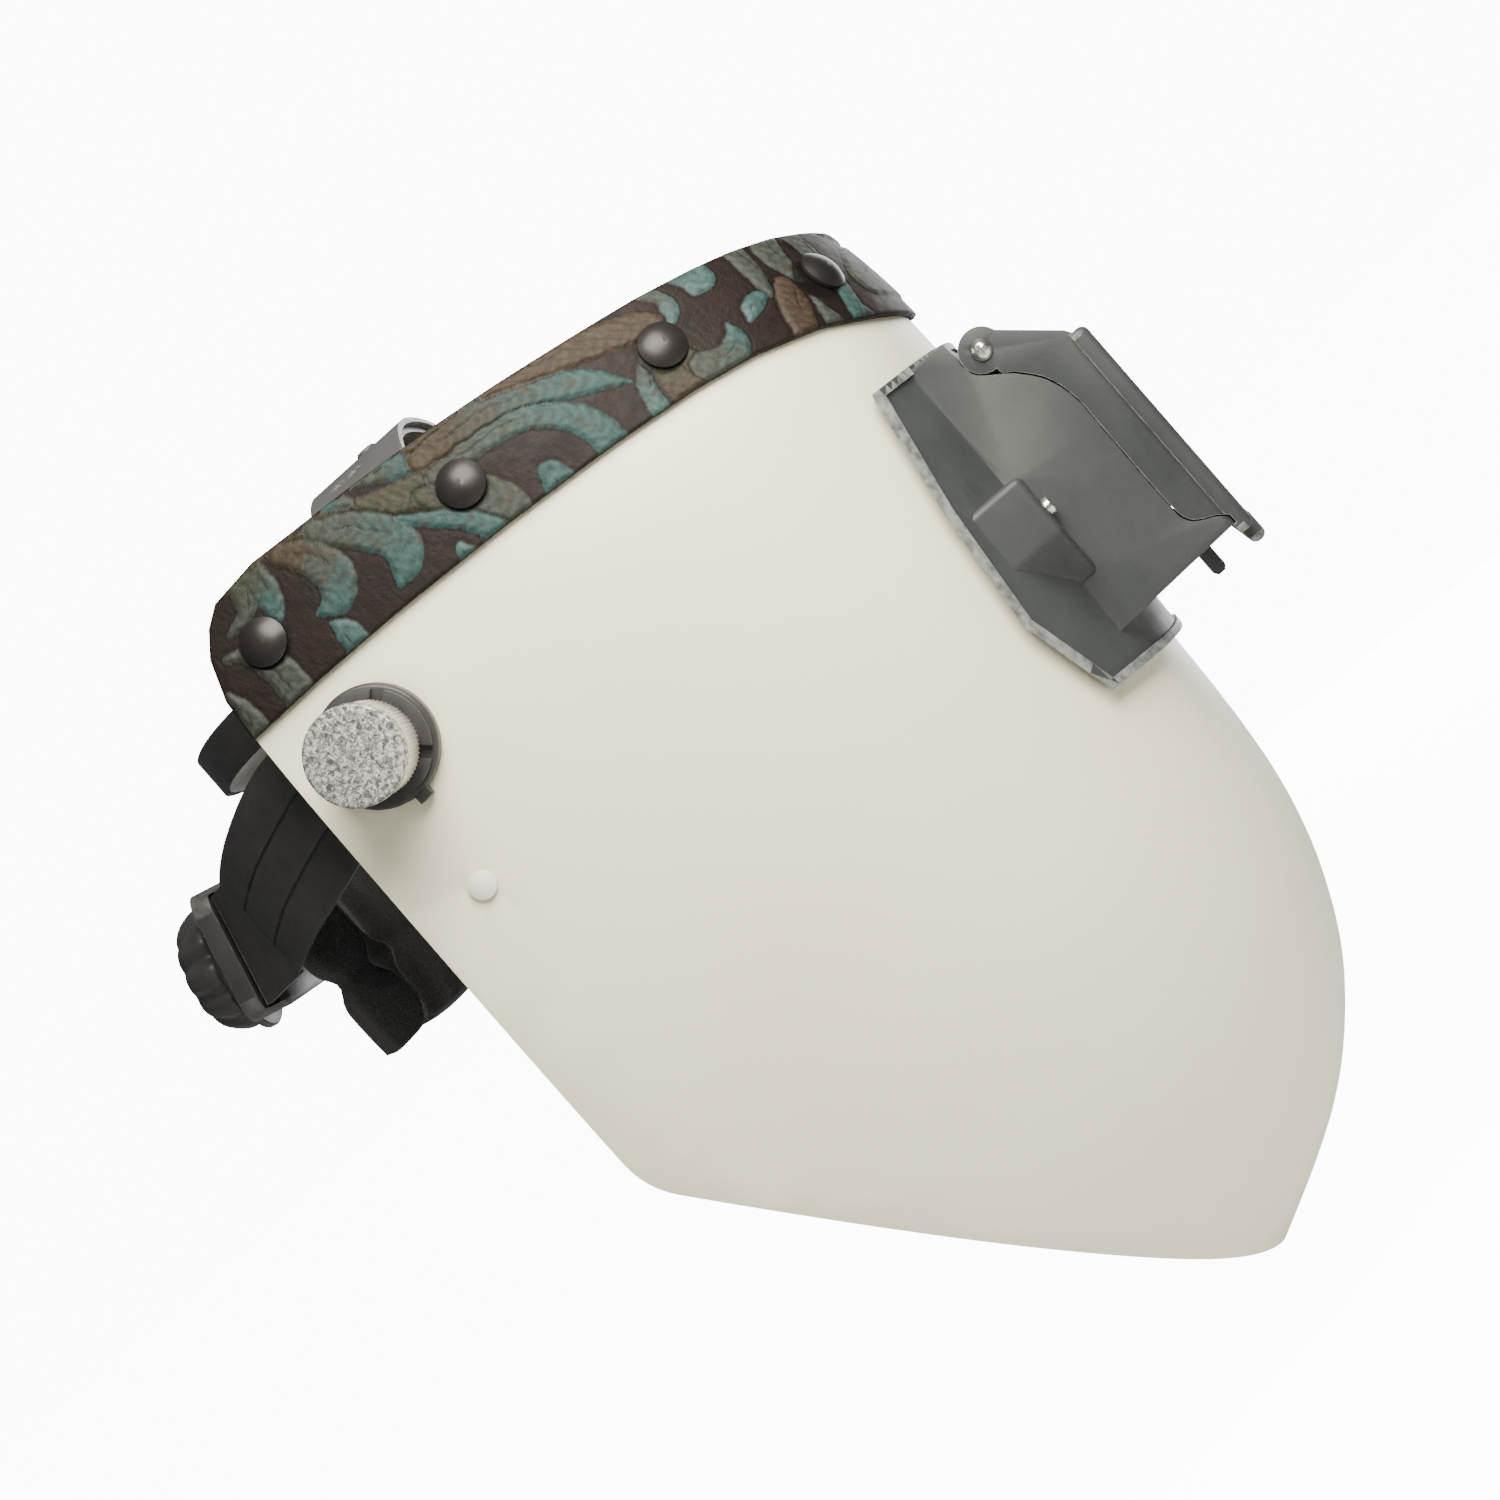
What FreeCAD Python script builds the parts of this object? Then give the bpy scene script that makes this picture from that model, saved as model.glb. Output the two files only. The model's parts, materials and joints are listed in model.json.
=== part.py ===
"""Compact welding hood with a lift-front lens holder, a leather crown band and ratchet headgear.

Millimetres. The hood is worn upright: the wearer looks along -Y, +Z is up, +X is the wearer's left.
The origin is on the tilt axis, midway between the two side knobs. "reach" means distance in front
of that axis, so reach = -Y. Side views are drawn as (reach, height) points.
"""
import FreeCAD
import Part
import math
import os

V = FreeCAD.Vector
os.makedirs("parts", exist_ok=True)

# ---- driving dimensions -------------------------------------------------------------------------
SHELL_T = 2.4                  # fibreglass wall
FACE_GAP = 0.3                 # between curved faces that lie on one another
RUN_GAP = 0.05                 # radial clearance of a turning fit
LEATHER_T = 2.2
BACK_REACH = -25.0             # straight rear edge of the hood's side walls
CHIN_CORNER = (-25.0, -135.6)
CHIN_TIP = (87.3, -274.2)
# height, half width, front reach, roundness exponent of the hood's level sections
HOOD_SECTIONS = [
    (80, 93, 152, 2.5), (56, 99, 163, 2.6), (33, 103.6, 171.6, 2.7), (0, 107.6, 176.4, 2.8),
    (-60, 108.6, 176.6, 2.8), (-110, 107.6, 174.6, 2.8), (-150, 104.5, 173.0, 2.75),
    (-176, 100.5, 169.8, 2.65), (-200, 95.5, 162.6, 2.55), (-225, 88.5, 149.2, 2.4),
    (-250, 79.5, 125.7, 2.3), (-270, 70.5, 93.3, 2.2), (-284, 63, 62, 2.1)]
CROWN_TOP = [(-12, 57), (4.6, 58.9), (18, 57.9), (40, 56.4), (65, 54.2), (85, 51.8), (110, 48.2),
             (126, 45.8), (142.5, 42.6), (153.4, 40), (163.4, 36.8), (172.2, 32.8), (190, 24)]
CROWN_HEM = [(-40, 23.2), (0, 24), (27.4, 23.5), (65, 21.8), (100.5, 19.2), (125, 16.6),
             (142.5, 13.6), (160, 8.4), (176.5, 0.2), (190, -7)]
SNAPS = [(-6, 40.6), (61.2, 37.2), (123.3, 30.6), (165.6, 20.4)]
SNAP_R, SNAP_DOME = 6.8, 2.3

FILTER_W, FILTER_H, FILTER_T = 108.0, 50.8, 3.0      # standard 2 x 4 1/4 in filter plate
COVER_T = 1.2
HINGE = (187.1, -24.6)         # lens holder hinge pin, reach and height
HOLDER_X = 58.0                # half width over the holder's side plates
HOLDER_WALL = 2.6
LENS_MID = -49.5               # lens centre below the hinge pin
VIEW_W, VIEW_H = 98.0, 42.0    # clear view through the frames
HINGE_R = 1.6

PIVOT_R = 3.0                  # pivot bolt
KNOB_R, KNOB_FACE_R = 13.1, 13.6
RING_R = 16.9
STOP = (-3.4, -45.9)           # stop rivet, reach and height
TILT_RANGE = 85.0

HEAD_MID = 12.0                # reach of the middle of the headband's opening
HEAD_A, HEAD_B = 84.0, 98.0    # outer half width and half length of the headband
BAND_T = 2.0
RATCHET = (-93.5, -14.0)       # middle of the ratchet housing, reach and height
RATCHET_TILT = 14.0            # the nape plate leans back at its foot
RATCHET_R = 20.4
CROWN_STRAP = (14.0, 48.0)     # rear and front edge of the strap over the head
CROWN_STRAP_TOP = 74.0
RIVET_R = 2.0
RIVETS = [(29, 6, 3.4), (-17, 6, 5.8), (4, 11, 7.7)]   # reach, height, end outside the band


# ---- helpers ------------------------------------------------------------------------------------
def at(x, reach, z):
    return V(x, -reach, z)


def box(x0, x1, r0, r1, z0, z1):
    """Box between two reaches."""
    return Part.makeBox(x1 - x0, r1 - r0, z1 - z0, V(x0, -r1, z0))


def rod(radius, start, end):
    axis = end.sub(start)
    return Part.makeCylinder(radius, axis.Length, start, axis)


def tube(outer, inner, start, end):
    return rod(outer, start, end).cut(rod(inner, start, end))


def mirrored(shape):
    return shape.mirror(V(0, 0, 0), V(1, 0, 0))


def both(shape):
    return Part.Compound([shape, mirrored(shape)])


def save(name, shape):
    if shape.ShapeType == "Compound" and len(shape.Solids) == 1:
        shape = shape.Solids[0]
    if not shape.isValid():
        shape.fix(0.001, 0.001, 0.001)
    shape.exportStep("parts/" + name + ".step")
    print(name, len(shape.Solids), "solids", round(shape.Volume / 1000, 2), "cm3", shape.isValid())


def rounded(shape, radius, wanted):
    """Fillet the edges that wanted(edge) picks; a fillet that fails leaves the edge sharp."""
    edges = [e for e in shape.Edges if wanted(e)]
    try:
        out = shape.makeFillet(radius, edges)
        return out if out.isValid() and out.Volume > 0 else shape
    except Exception:
        print("fillet left out, radius", radius)
        return shape


def side_prism(points, x0, x1):
    """Extrude a closed (reach, height) polygon along X."""
    corners = [at(x0, r, z) for r, z in points]
    wire = Part.makePolygon(corners + corners[:1])
    return Part.Face(wire).extrude(V(x1 - x0, 0, 0))


def smooth(points, steps=8):
    """Points of a Catmull-Rom curve through the given points."""
    out = []
    last = len(points) - 1
    for i in range(last):
        quad = [points[max(i - 1, 0)], points[i], points[i + 1], points[min(i + 2, last)]]
        for k in range(steps):
            out.append(tuple(catmull(*[q[c] for q in quad], k / steps) for c in range(2)))
    return out + [tuple(points[-1])]


def catmull(p0, p1, p2, p3, t):
    return 0.5 * (2 * p1 + (p2 - p0) * t + (2 * p0 - 5 * p1 + 4 * p2 - p3) * t * t
                  + (3 * p1 - p0 - 3 * p2 + p3) * t ** 3)


def curve_edge(points, x):
    """A smooth edge through (reach, height) points in the plane at x."""
    line = Part.BSplineCurve()
    line.interpolate([at(x, r, z) for r, z in points])
    return line.toShape()


def placed(shape, origin, direction):
    """Move a shape built on +Z at the origin so that +Z points along direction."""
    out = shape.copy()
    out.Placement = FreeCAD.Placement(origin, FreeCAD.Rotation(V(0, 0, 1), direction))
    return out


# ---- the hood's own surface ---------------------------------------------------------------------
def section(z):
    """Half width, front reach and exponent at a height, blended between the listed sections."""
    rows = HOOD_SECTIONS
    i = max(k for k in range(len(rows) - 1) if k == 0 or rows[k][0] >= z)
    quad = [rows[max(i - 1, 0)], rows[i], rows[i + 1], rows[min(i + 2, len(rows) - 1)]]
    h = quad[2][0] - quad[1][0]
    t = (z - quad[1][0]) / h
    values = []
    for c in (1, 2, 3):
        m1 = (quad[2][c] - quad[0][c]) / (quad[2][0] - quad[0][0]) * h
        m2 = (quad[3][c] - quad[1][c]) / (quad[3][0] - quad[1][0]) * h
        a, b = quad[1][c], quad[2][c]
        values.append((2 * t**3 - 3 * t**2 + 1) * a + (t**3 - 2 * t**2 + t) * m1
                      + (3 * t**2 - 2 * t**3) * b + (t**3 - t**2) * m2)
    return values


def grown_section(z, d):
    """The section moved outward by d, allowing for the wall's slope."""
    w, f, n = section(z)
    w_hi, f_hi, _ = section(z + 1)
    w_lo, f_lo, _ = section(z - 1)
    side_slope, front_slope = (w_hi - w_lo) / 2, (f_hi - f_lo) / 2
    return w + d * math.hypot(1, side_slope), f + d * math.hypot(1, front_slope), n


def hood_x(reach, z, d=0.0):
    """Half width of the hood's surface at a reach and height."""
    w, f, n = grown_section(z, d)
    t = max(0.0, (reach - BACK_REACH) / (f - BACK_REACH))
    return w * max(0.0, 1 - t**n) ** (1 / n)


def hood_reach(x, z, d=0.0):
    """Front reach of the hood's surface at a half width and height."""
    w, f, n = grown_section(z, d)
    return BACK_REACH + (f - BACK_REACH) * (1 - (abs(x) / w) ** n) ** (1 / n)


def section_points(z, d, count=26, tail=20.0):
    """Evenly spaced points of one level section, from one rear edge round to the other."""
    w, f, n = grown_section(z, d)
    half = []
    steps = 600
    for i in range(steps + 1):
        a = math.pi / 2 * i / steps
        half.append((w * math.sin(a) ** (2 / n), BACK_REACH + (f - BACK_REACH) * math.cos(a) ** (2 / n)))
    half.append((w, BACK_REACH - tail))
    lengths = [0.0]
    for a, b in zip(half, half[1:]):
        lengths.append(lengths[-1] + math.dist(a, b))
    out = []
    k = 0
    for i in range(count):
        want = lengths[-1] * i / (count - 1)
        while k < len(half) - 2 and lengths[k + 1] < want:
            k += 1
        t = (want - lengths[k]) / (lengths[k + 1] - lengths[k])
        out.append([half[k][c] + (half[k + 1][c] - half[k][c]) * t for c in range(2)])
    right = [at(-x, r, z) for x, r in reversed(out[1:])]
    return right + [at(x, r, z) for x, r in out]


def hood_block(d):
    """Solid bounded by the hood's surface moved out by d, a rear plane and two level planes."""
    heights = [70, 56, 44, 33, 20, 5, -15, -40, -65, -90, -115, -135, -152, -168, -182, -195,
               -208, -220, -232, -243, -253, -262, -270, -277]
    rows = [section_points(z, d) for z in reversed(heights)]
    surface = Part.BSplineSurface()
    surface.interpolate(rows)
    skin = surface.toShape()
    low_a, low_b, high_a, high_b = rows[0][0], rows[0][-1], rows[-1][0], rows[-1][-1]

    def edge_between(p, q):
        ends = {(round(w.x, 3), round(w.z, 3)) for w in (p, q)}
        for e in skin.Edges:
            if {(round(v.X, 3), round(v.Z, 3)) for v in e.Vertexes} == ends:
                return e

    low_line, high_line = Part.makeLine(low_b, low_a), Part.makeLine(high_b, high_a)
    floor = Part.Face(Part.Wire([edge_between(low_a, low_b), low_line]))
    roof = Part.Face(Part.Wire([edge_between(high_a, high_b), high_line]))
    rear = Part.Face(Part.Wire([edge_between(low_a, high_a), high_line,
                                edge_between(high_b, low_b), low_line]))
    sewn = Part.Compound([skin, floor, roof, rear])
    sewn.sewShape()
    solid = Part.makeSolid(sewn.Shells[0])
    solid.fix(0.001, 0.001, 0.001)
    if solid.Volume < 0:
        solid.reverse()
    return solid


def normal_at(reach, z):
    """Outward direction of the hood's surface on the -X side."""
    step = 0.5
    dx_dr = (hood_x(reach + step, z) - hood_x(reach - step, z)) / (2 * step)
    dx_dz = (hood_x(reach, z + step) - hood_x(reach, z - step)) / (2 * step)
    return V(-1, dx_dr, -dx_dz).normalize()


def hood_outline(top_drop):
    """Side view of everything that stays of the hood: chin edge, rear edge and crown edge."""
    chin_dir = (CHIN_TIP[0] - CHIN_CORNER[0], CHIN_TIP[1] - CHIN_CORNER[1])
    far = (CHIN_CORNER[0] + chin_dir[0] * 1.6, CHIN_CORNER[1] + chin_dir[1] * 1.6)
    soft = 9.0
    along = math.hypot(*chin_dir)
    after = (CHIN_CORNER[0] + chin_dir[0] / along * soft, CHIN_CORNER[1] + chin_dir[1] / along * soft)
    before = (CHIN_CORNER[0], CHIN_CORNER[1] + soft)
    rear = [before, (BACK_REACH, 20), (-24.2, 36), (-20.5, 47.5)]
    top = [(r, z - top_drop) for r, z in CROWN_TOP]
    lines = [Part.makeLine(at(-160, *before), at(-160, *rear[1])),
             curve_edge([rear[1], rear[2], rear[3], top[0]] + top[1:], -160),
             Part.makeLine(at(-160, *top[-1]), at(-160, 230, 0)),
             Part.makeLine(at(-160, 230, 0), at(-160, 230, far[1])),
             Part.makeLine(at(-160, 230, far[1]), at(-160, *far)),
             Part.makeLine(at(-160, *far), at(-160, *after))]
    corner = Part.BezierCurve()
    corner.setPoles([at(-160, *after), at(-160, *CHIN_CORNER), at(-160, *before)])
    lines.append(corner.toShape())
    return Part.Face(Part.Wire(lines)).extrude(V(320, 0, 0))


def crown_region():
    """Side view of the leather band."""
    top = [(BACK_REACH, 20), (-24.2, 36), (-20.5, 47.5)] + CROWN_TOP
    top = [(r, z + 0.6) for r, z in top]
    top[0] = (BACK_REACH, CROWN_HEM[0][1] + 0.3)
    hem = smooth(CROWN_HEM)
    hem = [p for p in hem if p[0] > BACK_REACH]
    x = -160
    lines = [curve_edge(top, x), Part.makeLine(at(x, *top[-1]), at(x, *hem[-1])),
             curve_edge(hem[::8] + [hem[-1]], x), Part.makeLine(at(x, *hem[0]), at(x, *top[0]))]
    return Part.Face(Part.Wire(lines)).extrude(V(320, 0, 0))


OUTER = hood_block(0)
INNER = hood_block(-SHELL_T)
CLEAR = hood_block(FACE_GAP)


def snap_place(reach, z, d):
    origin = at(-hood_x(reach, z), reach, z)
    n = normal_at(reach, z)
    return origin.add(V(n).multiply(d)), n


def for_snaps(build, d):
    shapes = [placed(build(), *snap_place(r, z, d)) for r, z in SNAPS]
    return shapes + [mirrored(s) for s in shapes]


def make_hood():
    shell = OUTER.cut(INNER).common(hood_outline(0.0))
    window = box(-53, 53, 120, 230, HINGE[1] - 77, HINGE[1] - 7)
    shell = shell.cut(window)
    shell = shell.cut(rod(RING_R / 2 + 0.1, V(-140, 0, 0), V(140, 0, 0)))
    shell = shell.cut(rod(2.1, at(-140, *STOP), at(140, *STOP)))
    shell = shell.cut(Part.Compound(for_snaps(lambda: Part.makeCylinder(2.3, 12, V(0, 0, -7)), 0)))
    for side in (-1, 1):
        shell = shell.cut(rod(1.9, at(side * 62.5, 120, -68.6), at(side * 62.5, 200, -68.6)))
    save("hood_shell", shell)

    leather = hood_block(FACE_GAP + LEATHER_T).cut(CLEAR).common(crown_region())
    leather = leather.cut(Part.Compound(for_snaps(lambda: Part.makeCylinder(3.5, 12, V(0, 0, -5)), 0)))
    save("crown_leather", leather)

    face = FACE_GAP + LEATHER_T + FACE_GAP

    def cap():
        sphere_r = (SNAP_R**2 + SNAP_DOME**2) / (2 * SNAP_DOME)
        ball = Part.makeSphere(sphere_r, V(0, 0, 1.0 + SNAP_DOME - sphere_r))
        dome = ball.common(Part.makeCylinder(SNAP_R, 10)).fuse(Part.makeCylinder(SNAP_R, 1.0))
        barrel = Part.makeCylinder(3.1, face, V(0, 0, 0.5 - face))
        return dome.fuse(barrel).cut(Part.makeCylinder(2.06, face + 0.6, V(0, 0, -face))).removeSplitter()

    def post():
        head = Part.makeCylinder(4.6, 1.0, V(0, 0, -SHELL_T - 1.0 - FACE_GAP))
        stem = Part.makeCylinder(2.0, SHELL_T + 3.6, V(0, 0, -SHELL_T - FACE_GAP - 0.5))
        return head.fuse(stem).removeSplitter()

    save("snap_caps", Part.Compound(for_snaps(cap, face)))
    save("snap_posts", Part.Compound(for_snaps(post, 0)))

    wall = hood_x(*STOP)
    dome_r = 9.0
    head = Part.makeSphere(dome_r, at(-wall - FACE_GAP - 1.9 + dome_r, *STOP))
    head = head.common(rod(4.0, at(-wall - FACE_GAP, *STOP), at(-wall - 8, *STOP)))
    stem = rod(2.0, at(-wall - 1.0, *STOP), at(-wall + 8.6, *STOP))
    save("stop_rivets", both(head.fuse(stem).removeSplitter()))
    bumper = tube(4.0, 2.02, at(-wall + SHELL_T + FACE_GAP, *STOP), at(-wall + 8.6, *STOP))
    save("stop_bumpers", both(bumper))


def pivot_parts():
    wall = hood_x(0, 0)
    ring_in, ring_out = hood_x(-RING_R, -RING_R) + FACE_GAP, wall + 5.6
    disc = rod(RING_R, V(-ring_in, 0, 0), V(-ring_out, 0, 0))
    disc = rounded(disc, 1.4, lambda e: abs(e.BoundBox.XMin + ring_out) < 0.01
                   and e.BoundBox.XLength < 0.01)
    hub = rod(RING_R / 2, V(-ring_in, 0, 0), V(-wall + SHELL_T + 1.6, 0, 0))
    ring = disc.fuse(hub)
    recess = rod(9.4, V(-ring_out - 1, 0, 0), V(-ring_out + 1.2, 0, 0))
    ring = ring.cut(recess)
    pads = tube(15.5, 10.0, V(-ring_out + 0.6, 0, 0), V(-ring_out - 2.2, 0, 0))
    for k in range(4):
        gap = box(-ring_out - 4, -ring_out + 0.6, 0, 30, -1.8, 1.8)
        gap.rotate(V(0, 0, 0), V(1, 0, 0), 45 + 90 * k)
        pads = pads.cut(gap)
    lug = box(-ring_out + 0.4, -ring_in - 0.4, -2.1, 2.1, -RING_R - 2.4, -RING_R + 1.5)
    lug.rotate(V(0, 0, 0), V(1, 0, 0), -4)
    ring = ring.fuse([pads, lug])
    ring = ring.cut(rod(PIVOT_R + RUN_GAP, V(-160, 0, 0), V(-80, 0, 0))).removeSplitter()
    save("pivot_ring_right", ring)
    save("pivot_ring_left", mirrored(ring))

    start = ring_out + 2.6
    washer = tube(8.8, 4.4, V(-start, 0, 0), V(-start - 1.2, 0, 0))
    save("knob_washer_right", washer)
    save("knob_washer_left", mirrored(washer))

    inner_end, outer_end = start + 1.4, 134.6
    teeth = 72
    corners = []
    for k in range(2 * teeth):
        r = KNOB_R - (0.5 if k % 2 else 0.0)
        a = math.pi * k / teeth
        corners.append(V(-inner_end, r * math.cos(a), r * math.sin(a)))
    body = Part.Face(Part.makePolygon(corners + corners[:1])).extrude(V(inner_end - outer_end, 0, 0))
    neck = tube(KNOB_R + 2, KNOB_R - 1.4, V(-outer_end, 0, 0), V(-outer_end + 0.9, 0, 0))
    bevel = Part.makeCone(KNOB_R - 1.3, KNOB_R + 0.9, 2.2, V(-inner_end, 0, 0), V(-1, 0, 0))
    keep = bevel.fuse(rod(KNOB_R + 0.9, V(-inner_end - 2.2, 0, 0), V(-outer_end, 0, 0)))
    body = body.common(keep).cut(neck)
    body = body.cut(rod(5.0, V(-inner_end + 1, 0, 0), V(-130, 0, 0)))
    save("knob_body_right", body)
    save("knob_body_left", mirrored(body))
    insert = tube(4.98, PIVOT_R + RUN_GAP, V(-inner_end - 0.2, 0, 0), V(-129.8, 0, 0))
    save("knob_insert_right", insert)
    save("knob_insert_left", mirrored(insert))
    face = rod(KNOB_FACE_R, V(-outer_end - 0.05, 0, 0), V(-139.4, 0, 0))
    face = rounded(face, 0.8, lambda e: e.BoundBox.XLength < 0.01)
    save("knob_face_right", face)
    save("knob_face_left", mirrored(face))

    shaft = rod(PIVOT_R, V(-93.4, 0, 0), V(-128.6, 0, 0))
    head = rod(7.0, V(-90.4, 0, 0), V(-93.6, 0, 0))
    head = rounded(head, 1.8, lambda e: abs(e.BoundBox.XMax + 90.4) < 0.01 and e.BoundBox.XLength < 0.01)
    square = Part.makeBox(3.0, 6.8, 6.8, V(-96.2, -3.4, -3.4))
    save("pivot_bolts", both(head.fuse([shaft, square]).removeSplitter()))
    flat = tube(13.0, PIVOT_R + 0.2, V(-97.6, 0, 0), V(-99.0, 0, 0))
    cup = tube(11.0, 6.0, V(-99.0, 0, 0), V(-102.4, 0, 0))
    save("tension_washers", both(flat.fuse(cup).removeSplitter()))


# ---- lens holder --------------------------------------------------------------------------------
def lens_pt(p, q):
    """Holder coordinates (forward of and above the hinge pin) to (reach, height)."""
    return HINGE[0] + p, HINGE[1] + q


def gap_line(extra):
    """Edge of the fixed base where the lift front meets it, moved forward by extra."""
    r = 6.9 + extra
    arc = []
    for k in range(8):
        a = math.radians(180 + 55 * k / 7)
        arc.append((r * math.cos(a), r * math.sin(a)))
    tail = smooth([(2.4, -10.4), (8.0, -17.6), (10.6, -27), (10.6, -40), (10.6, -64),
                   (12.0, -72), (18.3, -76)], 6)
    return [(-r, 8.2)] + arc + [(p + extra, q + extra * 0.6) for p, q in tail]


def base_outline(extra=0.0):
    tail = -60.0
    return ([lens_pt(tail, 10.0 + extra)] + [lens_pt(*g) for g in gap_line(extra)]
            + [lens_pt(21 + extra, -78 + extra * 0.3), lens_pt(21 + extra, -80.6),
               lens_pt(tail, -84.5)])


def inset_prism(points, d, x_half):
    corners = [at(-x_half, r, z) for r, z in points]
    face = Part.Face(Part.makePolygon(corners + corners[:1]))
    inner = face.makeOffset2D(-d, 2)
    return inner.extrude(V(2 * x_half, 0, 0))


def make_holder():
    outer = side_prism(base_outline(), -HOLDER_X, HOLDER_X)
    cavity = inset_prism(base_outline(), HOLDER_WALL, HOLDER_X - HOLDER_WALL)
    cavity = cavity.fuse(box(-53, 53, 90, HINGE[0] - 40, HINGE[1] - 80, HINGE[1] + 5))
    hx, rz = HINGE
    view_lo, view_hi = hx_z(-VIEW_H / 2), hx_z(VIEW_H / 2)
    view = box(-VIEW_W / 2, VIEW_W / 2, hx + 6, hx + 30, view_lo, view_hi)

    outline = [(157.3, -14.8), (151.3, -52), (147.8, -88.6), (154.3, -117.2), (177.5, -119.6),
               (230, -119.6), (230, -14.8)]
    inset = [(160, -17.3), (153.9, -52), (150.4, -88.4), (156.5, -114.9), (178, -117.1),
             (230, -117.1), (230, -17.3)]
    flange = hood_block(FACE_GAP + 3.0).common(side_prism(outline, -90, 90))
    bead = hood_block(FACE_GAP + 4.0).common(side_prism(outline, -90, 90))
    bead = bead.cut(side_prism(inset, -95, 95))
    boss_profile = [(HOLDER_X - 3, -56.6), (72.5, -56.6), (72.5, -75.6), (HOLDER_X - 3, -94)]
    corners = [at(-x, 140, z) for x, z in boss_profile]
    boss = Part.Face(Part.makePolygon(corners + corners[:1])).extrude(V(0, -32.4, 0))
    boss = rounded(boss, 2.2, lambda e: e.BoundBox.XMin < -72.4 or e.BoundBox.YMin < -172.3)
    base = outer.fuse([flange, bead, boss, mirrored(boss)])
    base = base.cut(cavity)

    knuckle = rod(3.0, at(-54.2, *HINGE), at(54.2, *HINGE))
    neck = side_prism([lens_pt(-9, -1.8), lens_pt(0, -1.8), lens_pt(2.6, -1.6), lens_pt(3.4, -12.5),
                       lens_pt(-9, -7)], -54.2, 54.2)
    base = base.fuse([knuckle, neck])
    tab = side_prism([lens_pt(7.5, -80), lens_pt(12, -80), lens_pt(12, -89.5), lens_pt(11, -91),
                      lens_pt(8.5, -91), lens_pt(7.5, -89.5)], -9, 9)
    pocket = box(-FILTER_W / 2 - 0.6, FILTER_W / 2 + 0.6, hx + 10.6, hx + 19.6,
                 hx_z(-FILTER_H / 2) - 0.8, hx_z(0))
    base = base.fuse(tab).cut(view).cut(pocket)
    light_lip = box(-54.6, -52.8, hx + 8, hx + 12.8, rz - 66, rz - 20)
    light_lip = light_lip.fuse(box(-55.7, -54.4, hx + 8, hx + 10, rz - 66, rz - 28))
    base = base.fuse([light_lip, mirrored(light_lip)])
    for side in (-1, 1):
        base = base.cut(rod(HINGE_R + 0.02, at(side * 46, *HINGE), at(side * 70, *HINGE)))
        base = base.cut(rod(1.9, at(side * 62.5, 120, -68.6), at(side * 62.5, 200, -68.6)))
    base = base.cut(CLEAR).removeSplitter()
    solids = sorted(base.Solids, key=lambda s: s.Volume)
    save("holder_base", solids[-1])

    screws, washers, nuts = [], [], []
    for side in (-1, 1):
        x = side * 62.5
        head = rod(2.7, at(x, 172.7, -68.6), at(x, 174.6, -68.6))
        head = rounded(head, 0.8, lambda e: abs(e.BoundBox.YMin + 174.6) < 0.01
                       and e.BoundBox.YLength < 0.01)
        screws.append(head.fuse(rod(1.5, at(x, 139.5, -68.6), at(x, 173, -68.6))).removeSplitter())
        blank = tube(5.4, 1.56, at(x, 146.2, -68.6), at(x, 168, -68.6))
        washers.append(blank.common(hood_block(-SHELL_T - FACE_GAP)))
        hexagon = [at(x + 3.1 * math.cos(math.radians(60 * k)), 143.6,
                      -68.6 + 3.1 * math.sin(math.radians(60 * k))) for k in range(6)]
        nut = Part.Face(Part.makePolygon(hexagon + hexagon[:1])).extrude(V(0, -2.4, 0))
        nuts.append(nut.cut(rod(1.52, at(x, 140, -68.6), at(x, 150, -68.6))))
    save("holder_screws", Part.Compound(screws))
    save("wedge_washers", Part.Compound(washers))
    save("holder_nuts", Part.Compound(nuts))

    plate = lens(4.2, 4.2 + COVER_T, FILTER_W, FILTER_H)
    save("fixed_plate", plate)
    rim = lens(5.6, 7.0, FILTER_W, FILTER_H - 3).cut(lens(5, 8, VIEW_W - 1, VIEW_H - 1))
    save("fixed_gasket", rim)
    strip = lens(2.4, 4.0, FILTER_W + 1, FILTER_H + 1).cut(lens(2, 5, VIEW_W, VIEW_H))
    save("fixed_retainer", strip)

    pin = rod(HINGE_R, at(-49, *HINGE), at(-58.4, *HINGE))
    ball = Part.makeSphere(3.4, at(-56.9, *HINGE))
    dome = ball.common(rod(3.2, at(-58.2, *HINGE), at(-64, *HINGE)))
    slot = box(-64, -59.6, HINGE[0] - 0.45, HINGE[0] + 0.45, rz - 1.6, rz + 1.6)
    cross = box(-64, -59.6, HINGE[0] - 1.6, HINGE[0] + 1.6, rz - 0.45, rz + 0.45)
    save("hinge_screws", both(pin.fuse(dome).cut(slot.fuse(cross)).removeSplitter()))

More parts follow.
